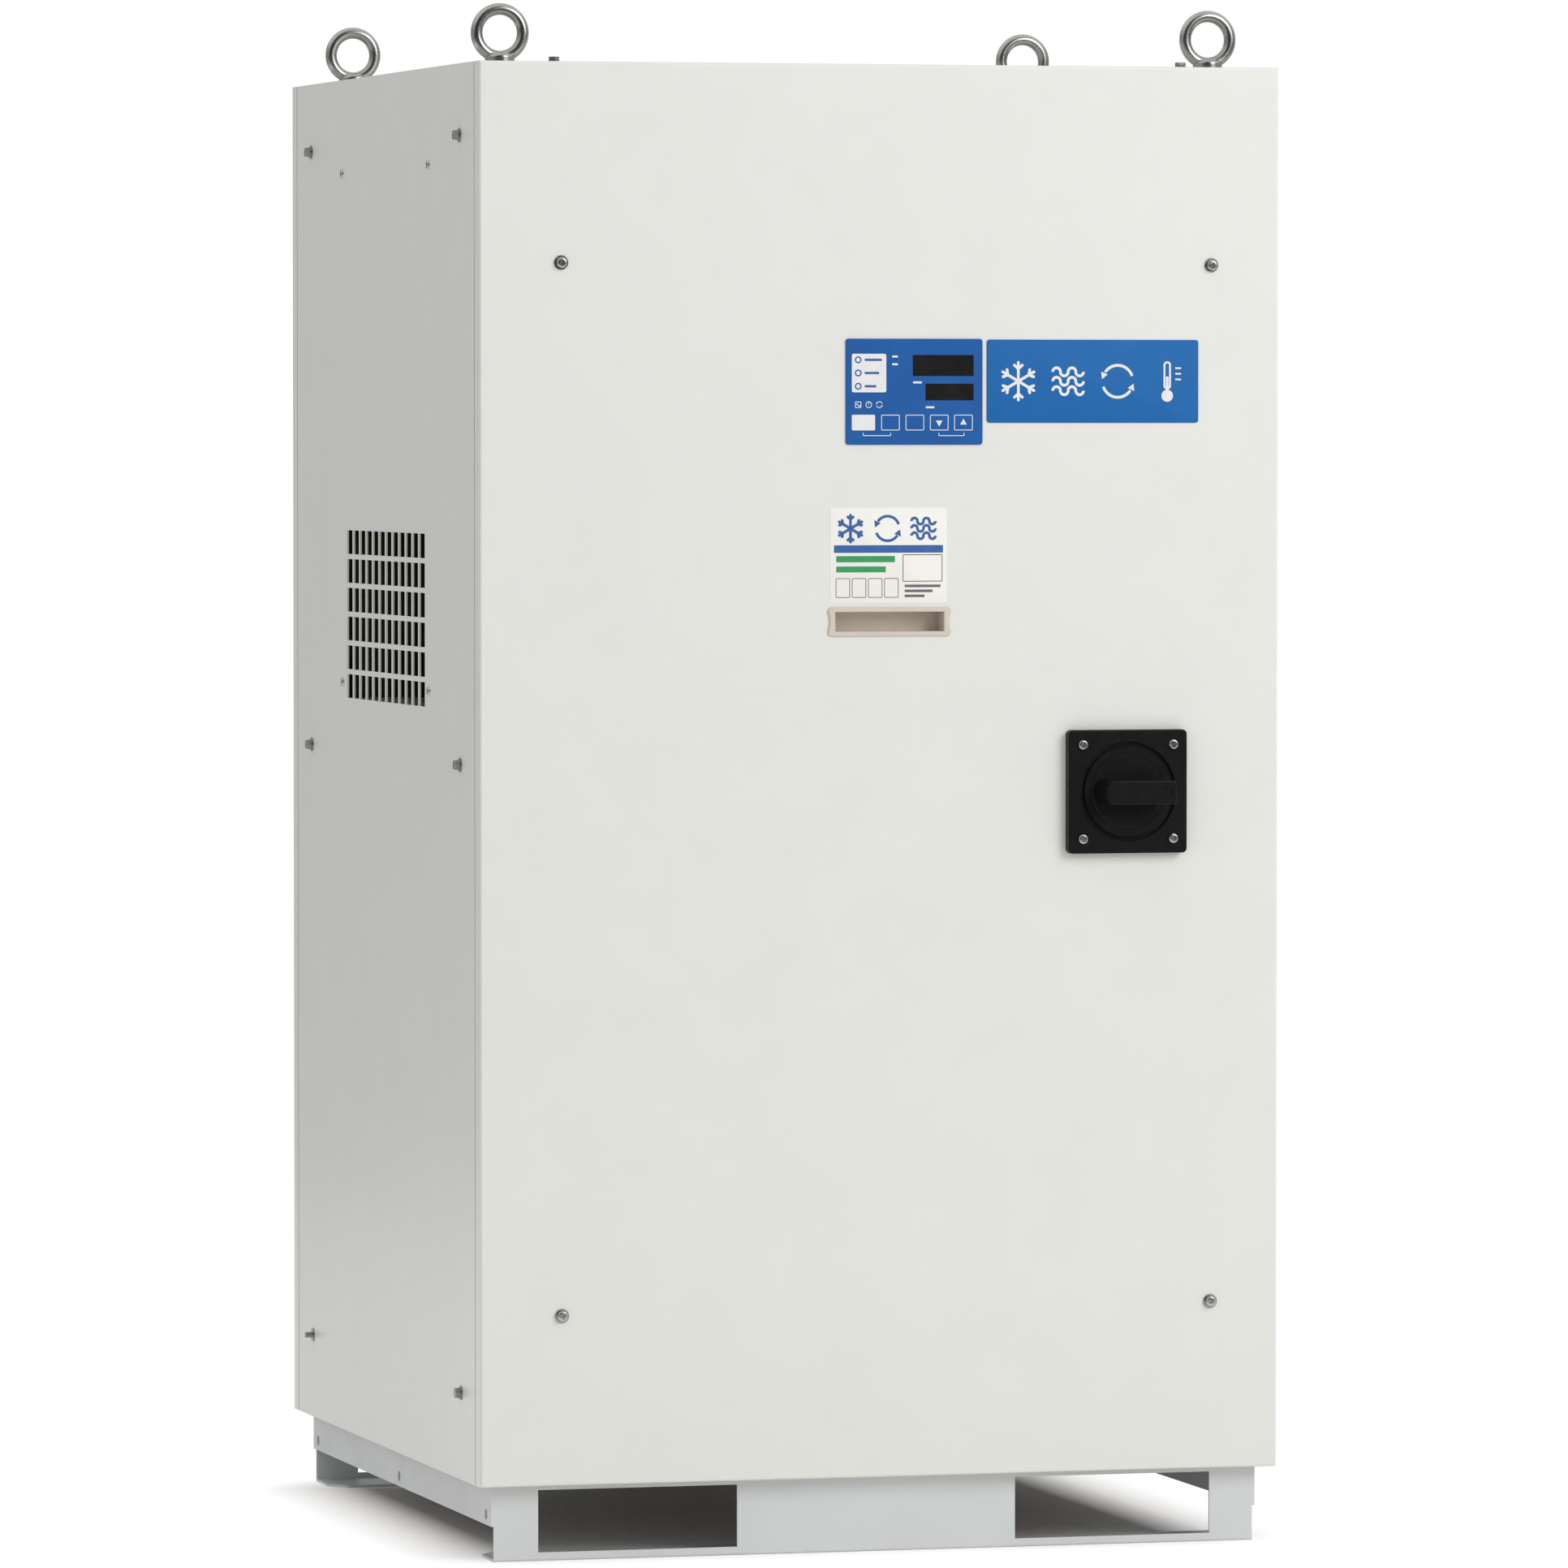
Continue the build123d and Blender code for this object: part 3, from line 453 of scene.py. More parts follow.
class Shape:
    """A solid in the making, in millimetres, that sits on z = 0 with z pointing out of its face."""

    def __init__(self) -> None:
        """Starts with nothing."""
        self.mesh = bmesh.new()

    def sealed(self) -> "Shape":
        """Merges doubles and turns every face outwards.

        Returns:
            This shape.
        """
        bmesh.ops.remove_doubles(self.mesh, verts=self.mesh.verts, dist=MERGE_DISTANCE)
        bmesh.ops.recalc_face_normals(self.mesh, faces=self.mesh.faces)
        return self

    def moved(self, x: float = 0.0, y: float = 0.0, z: float = 0.0) -> "Shape":
        """Moves the shape and gives it back."""
        bmesh.ops.translate(self.mesh, vec=(x, y, z), verts=self.mesh.verts)
        return self

    def turned(self, angle: float) -> "Shape":
        """Turns the shape about z.

        Args:
            angle: how far, in degrees.

        Returns:
            This shape.
        """
        turn = Matrix.Rotation(math.radians(angle), 3, "Z")
        bmesh.ops.rotate(self.mesh, cent=(0, 0, 0), matrix=turn, verts=self.mesh.verts)
        return self

    def pour(self, target: bmesh.types.BMesh, place: Matrix | None = None) -> None:
        """Moves the shape into another mesh, which uses it up.

        Args:
            target: the mesh that takes it.
            place: the matrix that sets it down there.
        """
        draft = bpy.data.meshes.new("draft")
        self.mesh.to_mesh(draft)
        self.mesh.free()
        if place is not None:
            draft.transform(place)
        target.from_mesh(draft)
        bpy.data.meshes.remove(draft)

    def joined(self, others: Sequence["Shape"]) -> "Shape":
        """Takes other shapes into this one.

        Args:
            others: the shapes, which are used up.

        Returns:
            This shape.
        """
        for other in others:
            other.pour(self.mesh)
        return self

    def rounded(self, parts: Sequence[object], size: float, segments: int, affect: str = "EDGES") -> None:
        """Bevels some edges or corners.

        Args:
            parts: the edges or vertices.
            size: the bevel's width.
            segments: how many faces round it off.
            affect: whether EDGES or VERTICES are bevelled.
        """
        bmesh.ops.bevel(
            self.mesh,
            geom=list(parts),
            offset=size,
            offset_type="OFFSET",
            affect=affect,
            segments=segments,
            profile=0.5,
            material=-1,
            clamp_overlap=True,
        )

    def swept(self, parts: Sequence[object], angle: float, steps: int, closed: bool) -> None:
        """Turns some parts about z and skins their way.

        Args:
            parts: the vertices, edges and faces that turn.
            angle: how far they turn, in radians.
            steps: how many flats make the turn.
            closed: whether the end joins the start.
        """
        bmesh.ops.spin(
            self.mesh,
            geom=list(parts),
            cent=(0, 0, 0),
            axis=(0, 0, 1),
            dvec=(0, 0, 0),
            angle=angle,
            steps=steps,
            use_merge=closed,
            use_normal_flip=False,
            use_duplicate=False,
        )

    def rim(self, height: float) -> list[bmesh.types.BMEdge]:
        """Gives the sharp edges that lie level at one height."""
        level = [e for e in self.mesh.edges if all(abs(v.co.z - height) < LEVEL_DISTANCE for v in e.verts)]
        return [edge for edge in level if abs(edge.calc_face_angle(0.0)) > SMOOTH_BELOW]

    def plate(self, width: float, height: float, thickness: float, corner: float = 0.0, edge: float = 0.0) -> "Shape":
        """Makes a flat plate with rounded corners.

        Args:
            width: its size along x.
            height: its size along y.
            thickness: its size along z.
            corner: the radius of its corners.
            edge: the radius of its front edge.

        Returns:
            This shape.
        """
        size = Matrix.Diagonal((width, height, thickness, 1.0))
        bmesh.ops.create_cube(self.mesh, size=1.0, matrix=Matrix.Translation((0, 0, thickness / 2)) @ size)
        if corner:
            uprights = [e for e in self.mesh.edges if abs(e.verts[0].co.z - e.verts[1].co.z) > thickness / 2]
            self.rounded(uprights, corner, CORNER_SEGMENTS)
        if edge:
            self.rounded(self.rim(thickness), edge, EDGE_SEGMENTS)
        return self.sealed()

    def puck(
        self, radius: float, height: float, edge: float = 0.0, sides: int = ROUND_SIDES, segments: int = 5
    ) -> "Shape":
        """Makes a round or many-sided block with a rounded front edge.

        Args:
            radius: the radius of its corners.
            height: its size along z.
            edge: the radius of its front edge.
            sides: how many sides it has.
            segments: how many faces round its edge off.

        Returns:
            This shape.
        """
        bmesh.ops.create_cone(
            self.mesh,
            cap_ends=True,
            cap_tris=False,
            segments=sides,
            radius1=radius,
            radius2=radius,
            depth=height,
            matrix=Matrix.Translation((0, 0, height / 2)),
        )
        if edge:
            self.rounded(self.rim(height), edge, segments)
        return self.sealed()

    def spun(self, profile: Sequence[Span], steps: int = ROUND_SIDES) -> "Shape":
        """Turns a closed profile about z.

        Args:
            profile: the radius and height of each of its corners.
            steps: how many flats make the full turn.

        Returns:
            This shape.
        """
        corners = [self.mesh.verts.new((radius, 0.0, height)) for radius, height in profile]
        lines = [self.mesh.edges.new(pair) for pair in zip(corners, corners[1:] + corners[:1])]
        self.swept(corners + lines, math.tau, steps, closed=True)
        return self.sealed()

    def ring(self, inner: float, outer: float, height: float, edge: float) -> "Shape":
        """Makes a flat ring such as a washer.

        Args:
            inner: the radius of its hole.
            outer: its own radius.
            height: its thickness.
            edge: the chamfer of its front edges.

        Returns:
            This shape.
        """
        low, front = height - edge, (outer - edge, inner + edge)
        return self.spun([(inner, 0), (outer, 0), (outer, low), *[(part, height) for part in front], (inner, low)])

    def arc(self, radius: float, line: float, height: float, start: float, sweep: float) -> "Shape":
        """Makes part of a flat ring.

        Args:
            radius: the radius of its middle line.
            line: its width.
            height: its thickness.
            start: the angle at which it starts, in degrees.
            sweep: the angle that it covers, in degrees.

        Returns:
            This shape.
        """
        inner, outer = radius - line / 2, radius + line / 2
        corners = [(inner, 0.0), (outer, 0.0), (outer, height), (inner, height)]
        face = self.mesh.faces.new([self.mesh.verts.new((x, 0.0, z)) for x, z in corners])
        steps = max(LEAST_ARC_STEPS, round(sweep / ARC_STEP))
        self.swept([face, *face.edges, *face.verts], math.radians(sweep), steps, closed=False)
        return self.sealed().turned(start)

    def outline(self, width: float, height: float, line: float, thickness: float, corner: float) -> "Shape":
        """Makes the outline of a rectangle with rounded corners.

        Args:
            width: its outer size along x.
            height: its outer size along y.
            line: the width of its line.
            thickness: its size along z.
            corner: the radius of its outer corners.

        Returns:
            This shape.
        """
        mesh, size = self.mesh, Matrix.Diagonal((width, height, 1.0, 1.0))
        bmesh.ops.create_grid(mesh, x_segments=1, y_segments=1, size=0.5, matrix=size)
        self.rounded(mesh.verts, corner, OUTLINE_SEGMENTS, "VERTICES")
        inside = list(mesh.faces)
        bmesh.ops.inset_region(
            mesh, faces=inside, thickness=line, depth=0.0, use_boundary=True, use_even_offset=True
        )
        bmesh.ops.delete(mesh, geom=inside, context="FACES")
        raised = bmesh.ops.extrude_face_region(mesh, geom=list(mesh.faces), use_keep_orig=True)["geom"]
        upper = [part for part in raised if isinstance(part, bmesh.types.BMVert)]
        bmesh.ops.translate(mesh, vec=(0, 0, thickness), verts=upper)
        return self.sealed()

    def recessed(self, width: float, length: float, depth: float, crossed: bool) -> "Shape":
        """Sinks a driver's slot or cross into the top of a head.

        Args:
            width: the slot's width.
            length: the slot's length.
            depth: its depth.
            crossed: whether a second slot crosses the first.

        Returns:
            This shape.
        """
        mesh, cuts = self.mesh, {width / 2, length / 2}
        for axis in ((1, 0, 0), (0, 1, 0)):
            for cut in sorted(cuts | {-cut for cut in cuts}):
                spot, whole = [cut * part for part in axis], [*mesh.verts, *mesh.edges, *mesh.faces]
                bmesh.ops.bisect_plane(mesh, geom=whole, dist=CUT_DISTANCE, plane_co=spot, plane_no=axis)
        sunk = []
        for face in mesh.faces:
            x, y = abs(face.calc_center_median().x), abs(face.calc_center_median().y)
            along = x < width / 2 and y < length / 2
            across = crossed and y < width / 2 and x < length / 2
            if face.normal.z > FACING_UP and (along or across):
                sunk.append(face)
        lowered = bmesh.ops.extrude_face_region(mesh, geom=sunk)["geom"]
        bmesh.ops.delete(mesh, geom=sunk, context="FACES_ONLY")
        floor = [part for part in lowered if isinstance(part, bmesh.types.BMVert)]
        bmesh.ops.translate(mesh, vec=(0, 0, -depth), verts=floor)
        bmesh.ops.scale(mesh, vec=(RECESS_TAPER, RECESS_TAPER, 1.0), verts=floor)
        bmesh.ops.recalc_face_normals(mesh, faces=mesh.faces)
        return self


class Piece:
    """One named piece of the scene, gathered from shapes and finished as one mesh."""

    def __init__(self, name: str, finish: Finish, slot: Slot | None = None) -> None:
        """Starts an empty piece.

        Args:
            name: the piece's name.
            finish: what it is made of.
            slot: a slot of the record; it is kept on the piece but not used.
        """
        self.name = name
        self.finish = finish
        self.slot = slot
        self.body = Body.CABINET
        self.mesh = bmesh.new()

    def add(self, shape: Shape, side: Side, origin: Point) -> None:
        """Sets one shape down on a side of the cabinet, with its origin at a place in millimetres."""
        shape.pour(self.mesh, side.place(origin))

    def make(self) -> None:
        """Makes the object, dresses it and lets it ride on its body."""
        data = bpy.data.meshes.new(self.name)
        self.mesh.to_mesh(data)
        self.mesh.free()
        data.shade_smooth()
        data.set_sharp_from_angle(angle=SMOOTH_BELOW)
        data.materials.append(self.finish.material())
        made = bpy.data.objects.new(self.name, data)
        bpy.context.scene.collection.objects.link(made)
        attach(made, self.body.value)
        log.info("piece %s: %d faces in %s", self.name, len(data.polygons), self.finish.name)


@dataclass(frozen=True)
class Area:
    """A rectangle on a printed sheet, measured across from its left edge and down from its top edge."""

    left: float
    right: float
    top: float
    bottom: float

    @property
    def size(self) -> Span:
        """Its width and height."""
        return (self.right - self.left, self.bottom - self.top)

    @property
    def middle(self) -> Span:
        """How far across and down its middle lies."""
        return ((self.left + self.right) / 2, (self.top + self.bottom) / 2)


@dataclass
class Sheet:
    """A flat sheet on the cabinet's front that takes marks, placed from its left and top edges."""

    left: float
    top: float
    face: float
    ink: float = 0.08

    def stamp(self, piece: Piece, shape: Shape, across: float, down: float) -> None:
        """Lays on any flat shape."""
        piece.add(shape, Side.FRONT, (self.left + across, self.face, self.top - down))

    def fill(self, piece: Piece, area: Area, corner: float, edge: float = 0.0) -> None:
        """Lays on a filled rectangle."""
        self.stamp(piece, Shape().plate(*area.size, self.ink, corner, edge), *area.middle)

    def frame(self, piece: Piece, area: Area, line: float, corner: float) -> None:
        """Lays on the outline of a rectangle."""
        self.stamp(piece, Shape().outline(*area.size, line, self.ink, corner), *area.middle)


@dataclass(frozen=True)
class Pictograms:
    """Plain signs for cold, flow and temperature; lengths named share are parts of a sign's size."""

    ink: float = 0.08
    line: float = 1.6
    line_round: float = 0.45
    layer_step: float = 0.2
    arm_turns: tuple[int, ...] = (0, 60, 120, 180, 240, 300)
    twig_share: float = 1 / 6
    twig_place_share: float = 1 / 3.2
    twig_lean: float = 50.0
    hump_count: int = 4
    wave_pitch_share: float = 1 / 3.4
    bulb_share: float = 0.15
    bulb_drop_share: float = 0.36
    tube_width: float = 1.3
    tube_corner: float = 0.6
    tube_line: float = 0.7
    tube_share: float = 0.7
    tube_rise_share: float = 0.15
    stem_share: float = 0.45
    stem_drop_share: float = 0.1
    tick_across: float = 1.9
    tick_line: float = 0.6
    tick_shares: tuple[float, ...] = (0.05, 0.19, 0.33)
    loop_share: float = 0.4
    loop_starts: Span = (20.0, 200.0)
    loop_sweep: float = 125.0
    arrow_size: float = 1.5
    arrow_turn: float = 137.0

    def bar(self, length: float) -> Shape:
        """Draws an upright bar with round ends."""
        return Shape().plate(self.line, length, self.ink, self.line * self.line_round)

    def stacked(self, parts: Sequence[Shape]) -> Shape:
        """Joins a sign's parts, each a little thicker than the last so that no two faces coincide.

        Args:
            parts: the parts, which are used up.

        Returns:
            The sign.
        """
        for index, part in enumerate(parts):
            bmesh.ops.scale(part.mesh, vec=(1.0, 1.0, 1.0 + index * self.layer_step), verts=part.mesh.verts)
        return Shape().joined(parts)

    def flake(self, size: float) -> Shape:
        """Draws a snow crystal.

        Args:
            size: how wide it is.

        Returns:
            The drawing.
        """
        arms, twig = [], size * self.twig_share
        for angle in self.arm_turns:
            arms.append(self.bar(size / 2).moved(y=size / 4).turned(angle))
            for lean in (-self.twig_lean, self.twig_lean):
                leaning = self.bar(twig).moved(y=twig / 2).turned(lean)
                arms.append(leaning.moved(y=size * self.twig_place_share).turned(angle))
        return self.stacked(arms)

    def wave(self, length: float, humps: int) -> Shape:
        """Draws one line of flowing water.

        Args:
            length: how long it is.
            humps: how many half circles make it.

        Returns:
            The drawing.
        """
        radius, arcs = length / humps / 2, []
        for hump in range(humps):
            centre = (hump - (humps - 1) / 2) * 2 * radius
            arcs.append(Shape().arc(radius, self.line, self.ink, hump % 2 * 180, 180).moved(x=centre))
        return self.stacked(arcs)

    def waves(self, size: float) -> Shape:
        """Draws three lines of flowing water."""
        pitch = size * self.wave_pitch_share
        return Shape().joined([self.wave(size, self.hump_count).moved(y=row * pitch) for row in (-1, 0, 1)])

    def thermometer(self, size: float) -> Shape:
        """Draws a thermometer.

        Args:
            size: how tall it is.

        Returns:
            The drawing.
        """
        bulb, tube_line, tick_line = size * self.bulb_share, self.line * self.tube_line, self.line * self.tick_line
        tube_size = (bulb * self.tube_width, size * self.tube_share)
        parts = [
            Shape().outline(*tube_size, tube_line, self.ink, bulb * self.tube_corner),
            self.bar(size * self.stem_share).moved(y=-size * self.stem_drop_share),
            Shape().puck(bulb, self.ink).moved(y=-size * self.bulb_drop_share),
        ]
        parts[0].moved(y=size * self.tube_rise_share)
        for share in self.tick_shares:
            parts.append(Shape().plate(bulb, tick_line, self.ink).moved(bulb * self.tick_across, size * share))
        return self.stacked(parts)

    def loop(self, size: float) -> Shape:
        """Draws two arrows that chase each other round.

        Args:
            size: how wide it is.

        Returns:
            The drawing.
        """
        radius, arrows = size * self.loop_share, []
        for start in self.loop_starts:
            arrows.append(Shape().arc(radius, self.line, self.ink, start, self.loop_sweep))
            head = Shape().puck(self.line * self.arrow_size, self.ink, sides=3)
            arrows.append(head.moved(x=radius).turned(start + self.arrow_turn))
        return self.stacked(arrows)


@dataclass(frozen=True)
class PanHeadScrew:
    """A pan-head screw on its flat and spring washers."""

    head_radius: float = 4.4
    head_height: float = 3.1
    head_round: float = 1.6
    washer_radius: float = 6.2
    washer_hole: float = 2.8
    washer_sheet: float = 0.9
    washer_edge: float = 0.15
    spring_radius: float = 4.2
    spring_sheet: float = 1.1
    spring_sweep: float = 350.0
    spring_turn: float = 40.0
    recess_width: float = 0.95
    recess_length: float = 4.6
    recess_depth: float = 1.7

    def shape(self, turn: float, washers: bool = True) -> Shape:
        """Builds one screw.

        Args:
            turn: how far its recess is turned, in degrees.
            washers: whether it has its washers.

        Returns:
            The screw, sitting on its panel.
        """
        head = Shape().puck(self.head_radius, self.head_height, self.head_round)
        head.recessed(self.recess_width, self.recess_length, self.recess_depth, crossed=True).turned(turn)
        if not washers:
            return head
        flat = Shape().ring(self.washer_hole, self.washer_radius, self.washer_sheet, self.washer_edge)
        line = self.spring_radius - self.washer_hole
        middle = (self.spring_radius + self.washer_hole) / 2
        spring = Shape().arc(middle, line, self.spring_sheet, turn + self.spring_turn, self.spring_sweep)
        return flat.joined(
            [spring.moved(z=self.washer_sheet), head.moved(z=self.washer_sheet + self.spring_sheet)]
        )


@dataclass
class PanelFixings:
    """The screws that hold the front and rear panels."""

    front_face: float = -358.1
    rear_face: float = 367.9
    columns: Span = (-280.0, 290.0)
    rows: Span = (208.1, 1091.7)
    turns: tuple[float, ...] = (14.0, 52.0, 31.0, 75.0)

    def build(self) -> None:
        """Builds four screws on each panel."""
        screw = PanHeadScrew()
        spots = [(x, z) for z in self.rows for x in self.columns]
        for side, face in ((Side.FRONT, self.front_face), (Side.REAR, self.rear_face)):
            piece = Piece(f"panel_screws_{side.name.lower()}", SCREW_STEEL, Slot.BOLT_STEEL)
            for (x, z), turn in zip(spots, self.turns):
                piece.add(screw.shape(turn), side, (x, face, z))
            piece.make()


@dataclass
class SidePieces:
    """Pieces that sit alike on the left and on the right side panel."""

    face: float = 350.0

    def shape(self) -> Shape:
        """Builds one shape, in the way of each kind of piece."""
        raise NotImplementedError

    def spread(self, name: str, finish: Finish, slot: Slot | None, spots: Sequence[Span]) -> None:
        """Makes one piece on each side.

        Args:
            name: the piece's name, to which the side's name is added.
            finish: what it is made of.
            slot: the record's slot, which is handed on to the piece.
            spots: the depth and height of each of its shapes.
        """
        for side, face in ((Side.LEFT, -self.face), (Side.RIGHT, self.face)):
            piece = Piece(f"{name}_{side.name.lower()}", finish, slot)
            for y, z in spots:
                piece.add(self.shape(), side, (face, y, z))
            piece.make()


@dataclass
class SideScrews(SidePieces):
    """The low slotted screws that stiffen each side panel round its grille."""

    depths: Span = (-171.1, 161.9)
    heights: Span = (728.6, 1177.4)
    head_radius: float = 4.1
    head_height: float = 1.7
    head_round: float = 1.3
    slot_width: float = 1.1
    slot_length: float = 8.6
    slot_depth: float = 0.9

    def shape(self) -> Shape:
        """Builds one screw's head."""
        head = Shape().puck(self.head_radius, self.head_height, self.head_round)
        return head.recessed(self.slot_width, self.slot_length, self.slot_depth, crossed=False)

    def build(self) -> None:
        """Builds four screws on each side."""
        spots = [(y, z) for y in self.depths for z in self.heights]
        self.spread("grille_screws", SCREW_STEEL, Slot.BOLT_STEEL, spots)


@dataclass
class SeamShadeStrips(SidePieces):
    """Thin grey strips laid on the seams between the folded panels and the side panels, painted shade for each seam's
    shadow line.
    """

    depths: Span = (-338.9, 347.7)
    bottom: float = 66.0
    top: float = 1259.0
    width: float = 1.0
    proud: float = 0.06

    def shape(self) -> Shape:
        """Builds one strip of painted seam shade."""
        return Shape().plate(self.width, self.top - self.bottom, self.proud, edge=self.proud / 2)

    def build(self) -> None:
        """Builds two upright strips of painted seam shade on each side."""
        middle = (self.top + self.bottom) / 2
        self.spread("panel_seam_shades", SEAM_SHADE_GREY, None, [(y, middle) for y in self.depths])


@dataclass
class TopBolts:
    """The hexagon bolts that hold the top panel."""

    top: float = 1260.0
    columns: Span = (-279.0, 271.0)
    rows: Span = (-330.1, 339.9)
    across_flats: float = 8.0
    head_height: float = 3.7
    head_chamfer: float = 0.5
    turn_step: float = 13.0
    washer_radius: float = 6.0
    washer_hole: float = 2.7
    washer_sheet: float = 1.0
    washer_edge: float = 0.15

    def build(self) -> None:
        """Builds the four bolts."""
        piece = Piece("top_panel_bolts", BOLT_STEEL, Slot.BOLT_STEEL)
        corner = self.across_flats / math.sqrt(3)
        for index, (x, y) in enumerate((x, y) for x in self.columns for y in self.rows):
            washer = Shape().ring(self.washer_hole, self.washer_radius, self.washer_sheet, self.washer_edge)
            head = Shape().puck(corner, self.head_height, self.head_chamfer, sides=6, segments=2)
            head.turned(index * self.turn_step).moved(z=self.washer_sheet)
            piece.add(washer.joined([head]), Side.TOP, (x, y, self.top))
        piece.make()


@dataclass
class SwitchScrews:
    """The four screws in the corners of the switch's plate."""

    centre_x: float = 213.6
    centre_z: float = 644.5
    face: float = -368.1
    pitch: float = 80.0
    turns: tuple[float, ...] = (20.0, 64.0, 41.0, 8.0)
    screw: PanHeadScrew = PanHeadScrew(head_radius=4.2, head_height=2.4, head_round=1.4)

    def build(self) -> None:
        """Builds the screws."""
        piece = Piece("switch_screws", SCREW_STEEL, Slot.BOLT_STEEL)
        half = self.pitch / 2
        spots = [(x, z) for x in (-half, half) for z in (-half, half)]
        for (x, z), turn in zip(spots, self.turns):
            spot = (self.centre_x + x, self.face, self.centre_z + z)
            piece.add(self.screw.shape(turn, washers=False), Side.FRONT, spot)
        piece.make()


@dataclass
class SignPlate:
    """The blue plate beside the keypad, with plain signs for what the machine does."""

    left: float = 91.0
    top: float = 1028.1
    width: float = 187.5
    height: float = 70.4
    face: float = -358.1
    sheet: float = 0.8
    corner: float = 2.5
    edge: float = 0.25
    sign_size: float = 34.0
    wave_size: float = 27.2
    sign_pitch: float = 44.0
    line: float = 2.4

    def build(self) -> None:
        """Builds the plate and its signs."""
        plate = Piece("sign_plate", SIGN_BLUE, Slot.PANEL_BLUE)
        whole = Area(0.0, self.width, 0.0, self.height)
        Sheet(self.left, self.top, self.face, self.sheet).fill(plate, whole, self.corner, self.edge)
        plate.make()
        signs = Piece("sign_plate_signs", INK_WHITE)
        draw, size = Pictograms(line=self.line), self.sign_size
        drawings = (draw.flake(size), draw.waves(self.wave_size), draw.loop(size), draw.thermometer(size))
        front = Sheet(self.left, self.top, self.face - self.sheet)
        for index, drawing in enumerate(drawings):
            across = self.width / 2 + (index - (len(drawings) - 1) / 2) * self.sign_pitch
            front.stamp(signs, drawing, across, self.height / 2)
        signs.make()


@dataclass
class InfoLabel:
    """The white film label under the keypad, with plain shapes in the place of its print."""

    left: float = -46.6
    top: float = 886.0
    width: float = 102.7
    height: float = 80.5
    face: float = -358.1
    film: float = 0.25
    corner: float = 2.5
    edge: float = 0.1
    line: float = 2.4
    signs_down: float = 17.5
    flake_size: float = 25.0
    flake_across: float = 18.0
    loop_size: float = 26.0
    loop_across: float = 50.5
    waves_size: float = 21.0
    waves_across: float = 82.0
    rule: Area = Area(3.5, 99.2, 31.6, 38.0)
    bars: tuple[Area, ...] = (Area(5.5, 57.0, 40.7, 46.0), Area(5.5, 49.0, 49.5, 54.5))
    bar_corner: float = 0.6
    window: Area = Area(63.8, 98.8, 39.4, 62.5)
    window_line: float = 0.7
    window_corner: float = 0.8
    box: Area = Area(5.0, 17.6, 59.4, 76.0)
    box_count: int = 4
    box_pitch: float = 14.2
    box_line: float = 0.6
    box_corner: float = 1.2
    lines: tuple[Area, ...] = (
        Area(65.5, 97.0, 65.0, 67.2),
        Area(65.5, 90.0, 69.2, 71.4),
        Area(65.5, 83.0, 73.4, 75.6),
    )
    line_corner: float = 0.4

    def build(self) -> None:
        """Builds the film and its print."""
        film = Piece("info_label", LABEL_FILM)
        whole = Area(0.0, self.width, 0.0, self.height)
        Sheet(self.left, self.top, self.face, self.film).fill(film, whole, self.corner, self.edge)
        film.make()
        sheet = Sheet(self.left, self.top, self.face - self.film)
        self.print_blue(sheet, Piece("info_label_blue", INK_BLUE))
        self.print_green(sheet, Piece("info_label_green", INK_GREEN))
        self.print_grey(sheet, Piece("info_label_grey", INK_GREY))

    def print_blue(self, sheet: Sheet, blue: Piece) -> None:
        """Prints the big signs and the rule under them.

        Args:
            sheet: the label's face.
            blue: the piece for the ink.
        """
        draw = Pictograms(line=self.line)
        sheet.stamp(blue, draw.flake(self.flake_size), self.flake_across, self.signs_down)
        sheet.stamp(blue, draw.loop(self.loop_size), self.loop_across, self.signs_down)
        sheet.stamp(blue, draw.waves(self.waves_size), self.waves_across, self.signs_down)
        sheet.fill(blue, self.rule, self.bar_corner)
        blue.make()

    def print_green(self, sheet: Sheet, green: Piece) -> None:
        """Prints the green bars.

        Args:
            sheet: the label's face.
            green: the piece for the ink.
        """
        for bar in self.bars:
            sheet.fill(green, bar, self.bar_corner)
        green.make()

    def print_grey(self, sheet: Sheet, grey: Piece) -> None:
        """Prints the grey frames and lines.

        Args:
            sheet: the label's face.
            grey: the piece for the ink.
        """
        sheet.frame(grey, self.window, self.window_line, self.window_corner)
        for index in range(self.box_count):
            shift = index * self.box_pitch
            area = Area(self.box.left + shift, self.box.right + shift, self.box.top, self.box.bottom)
            sheet.frame(grey, area, self.box_line, self.box_corner)
        for line in self.lines:
            sheet.fill(grey, line, self.line_corner)
        grey.make()


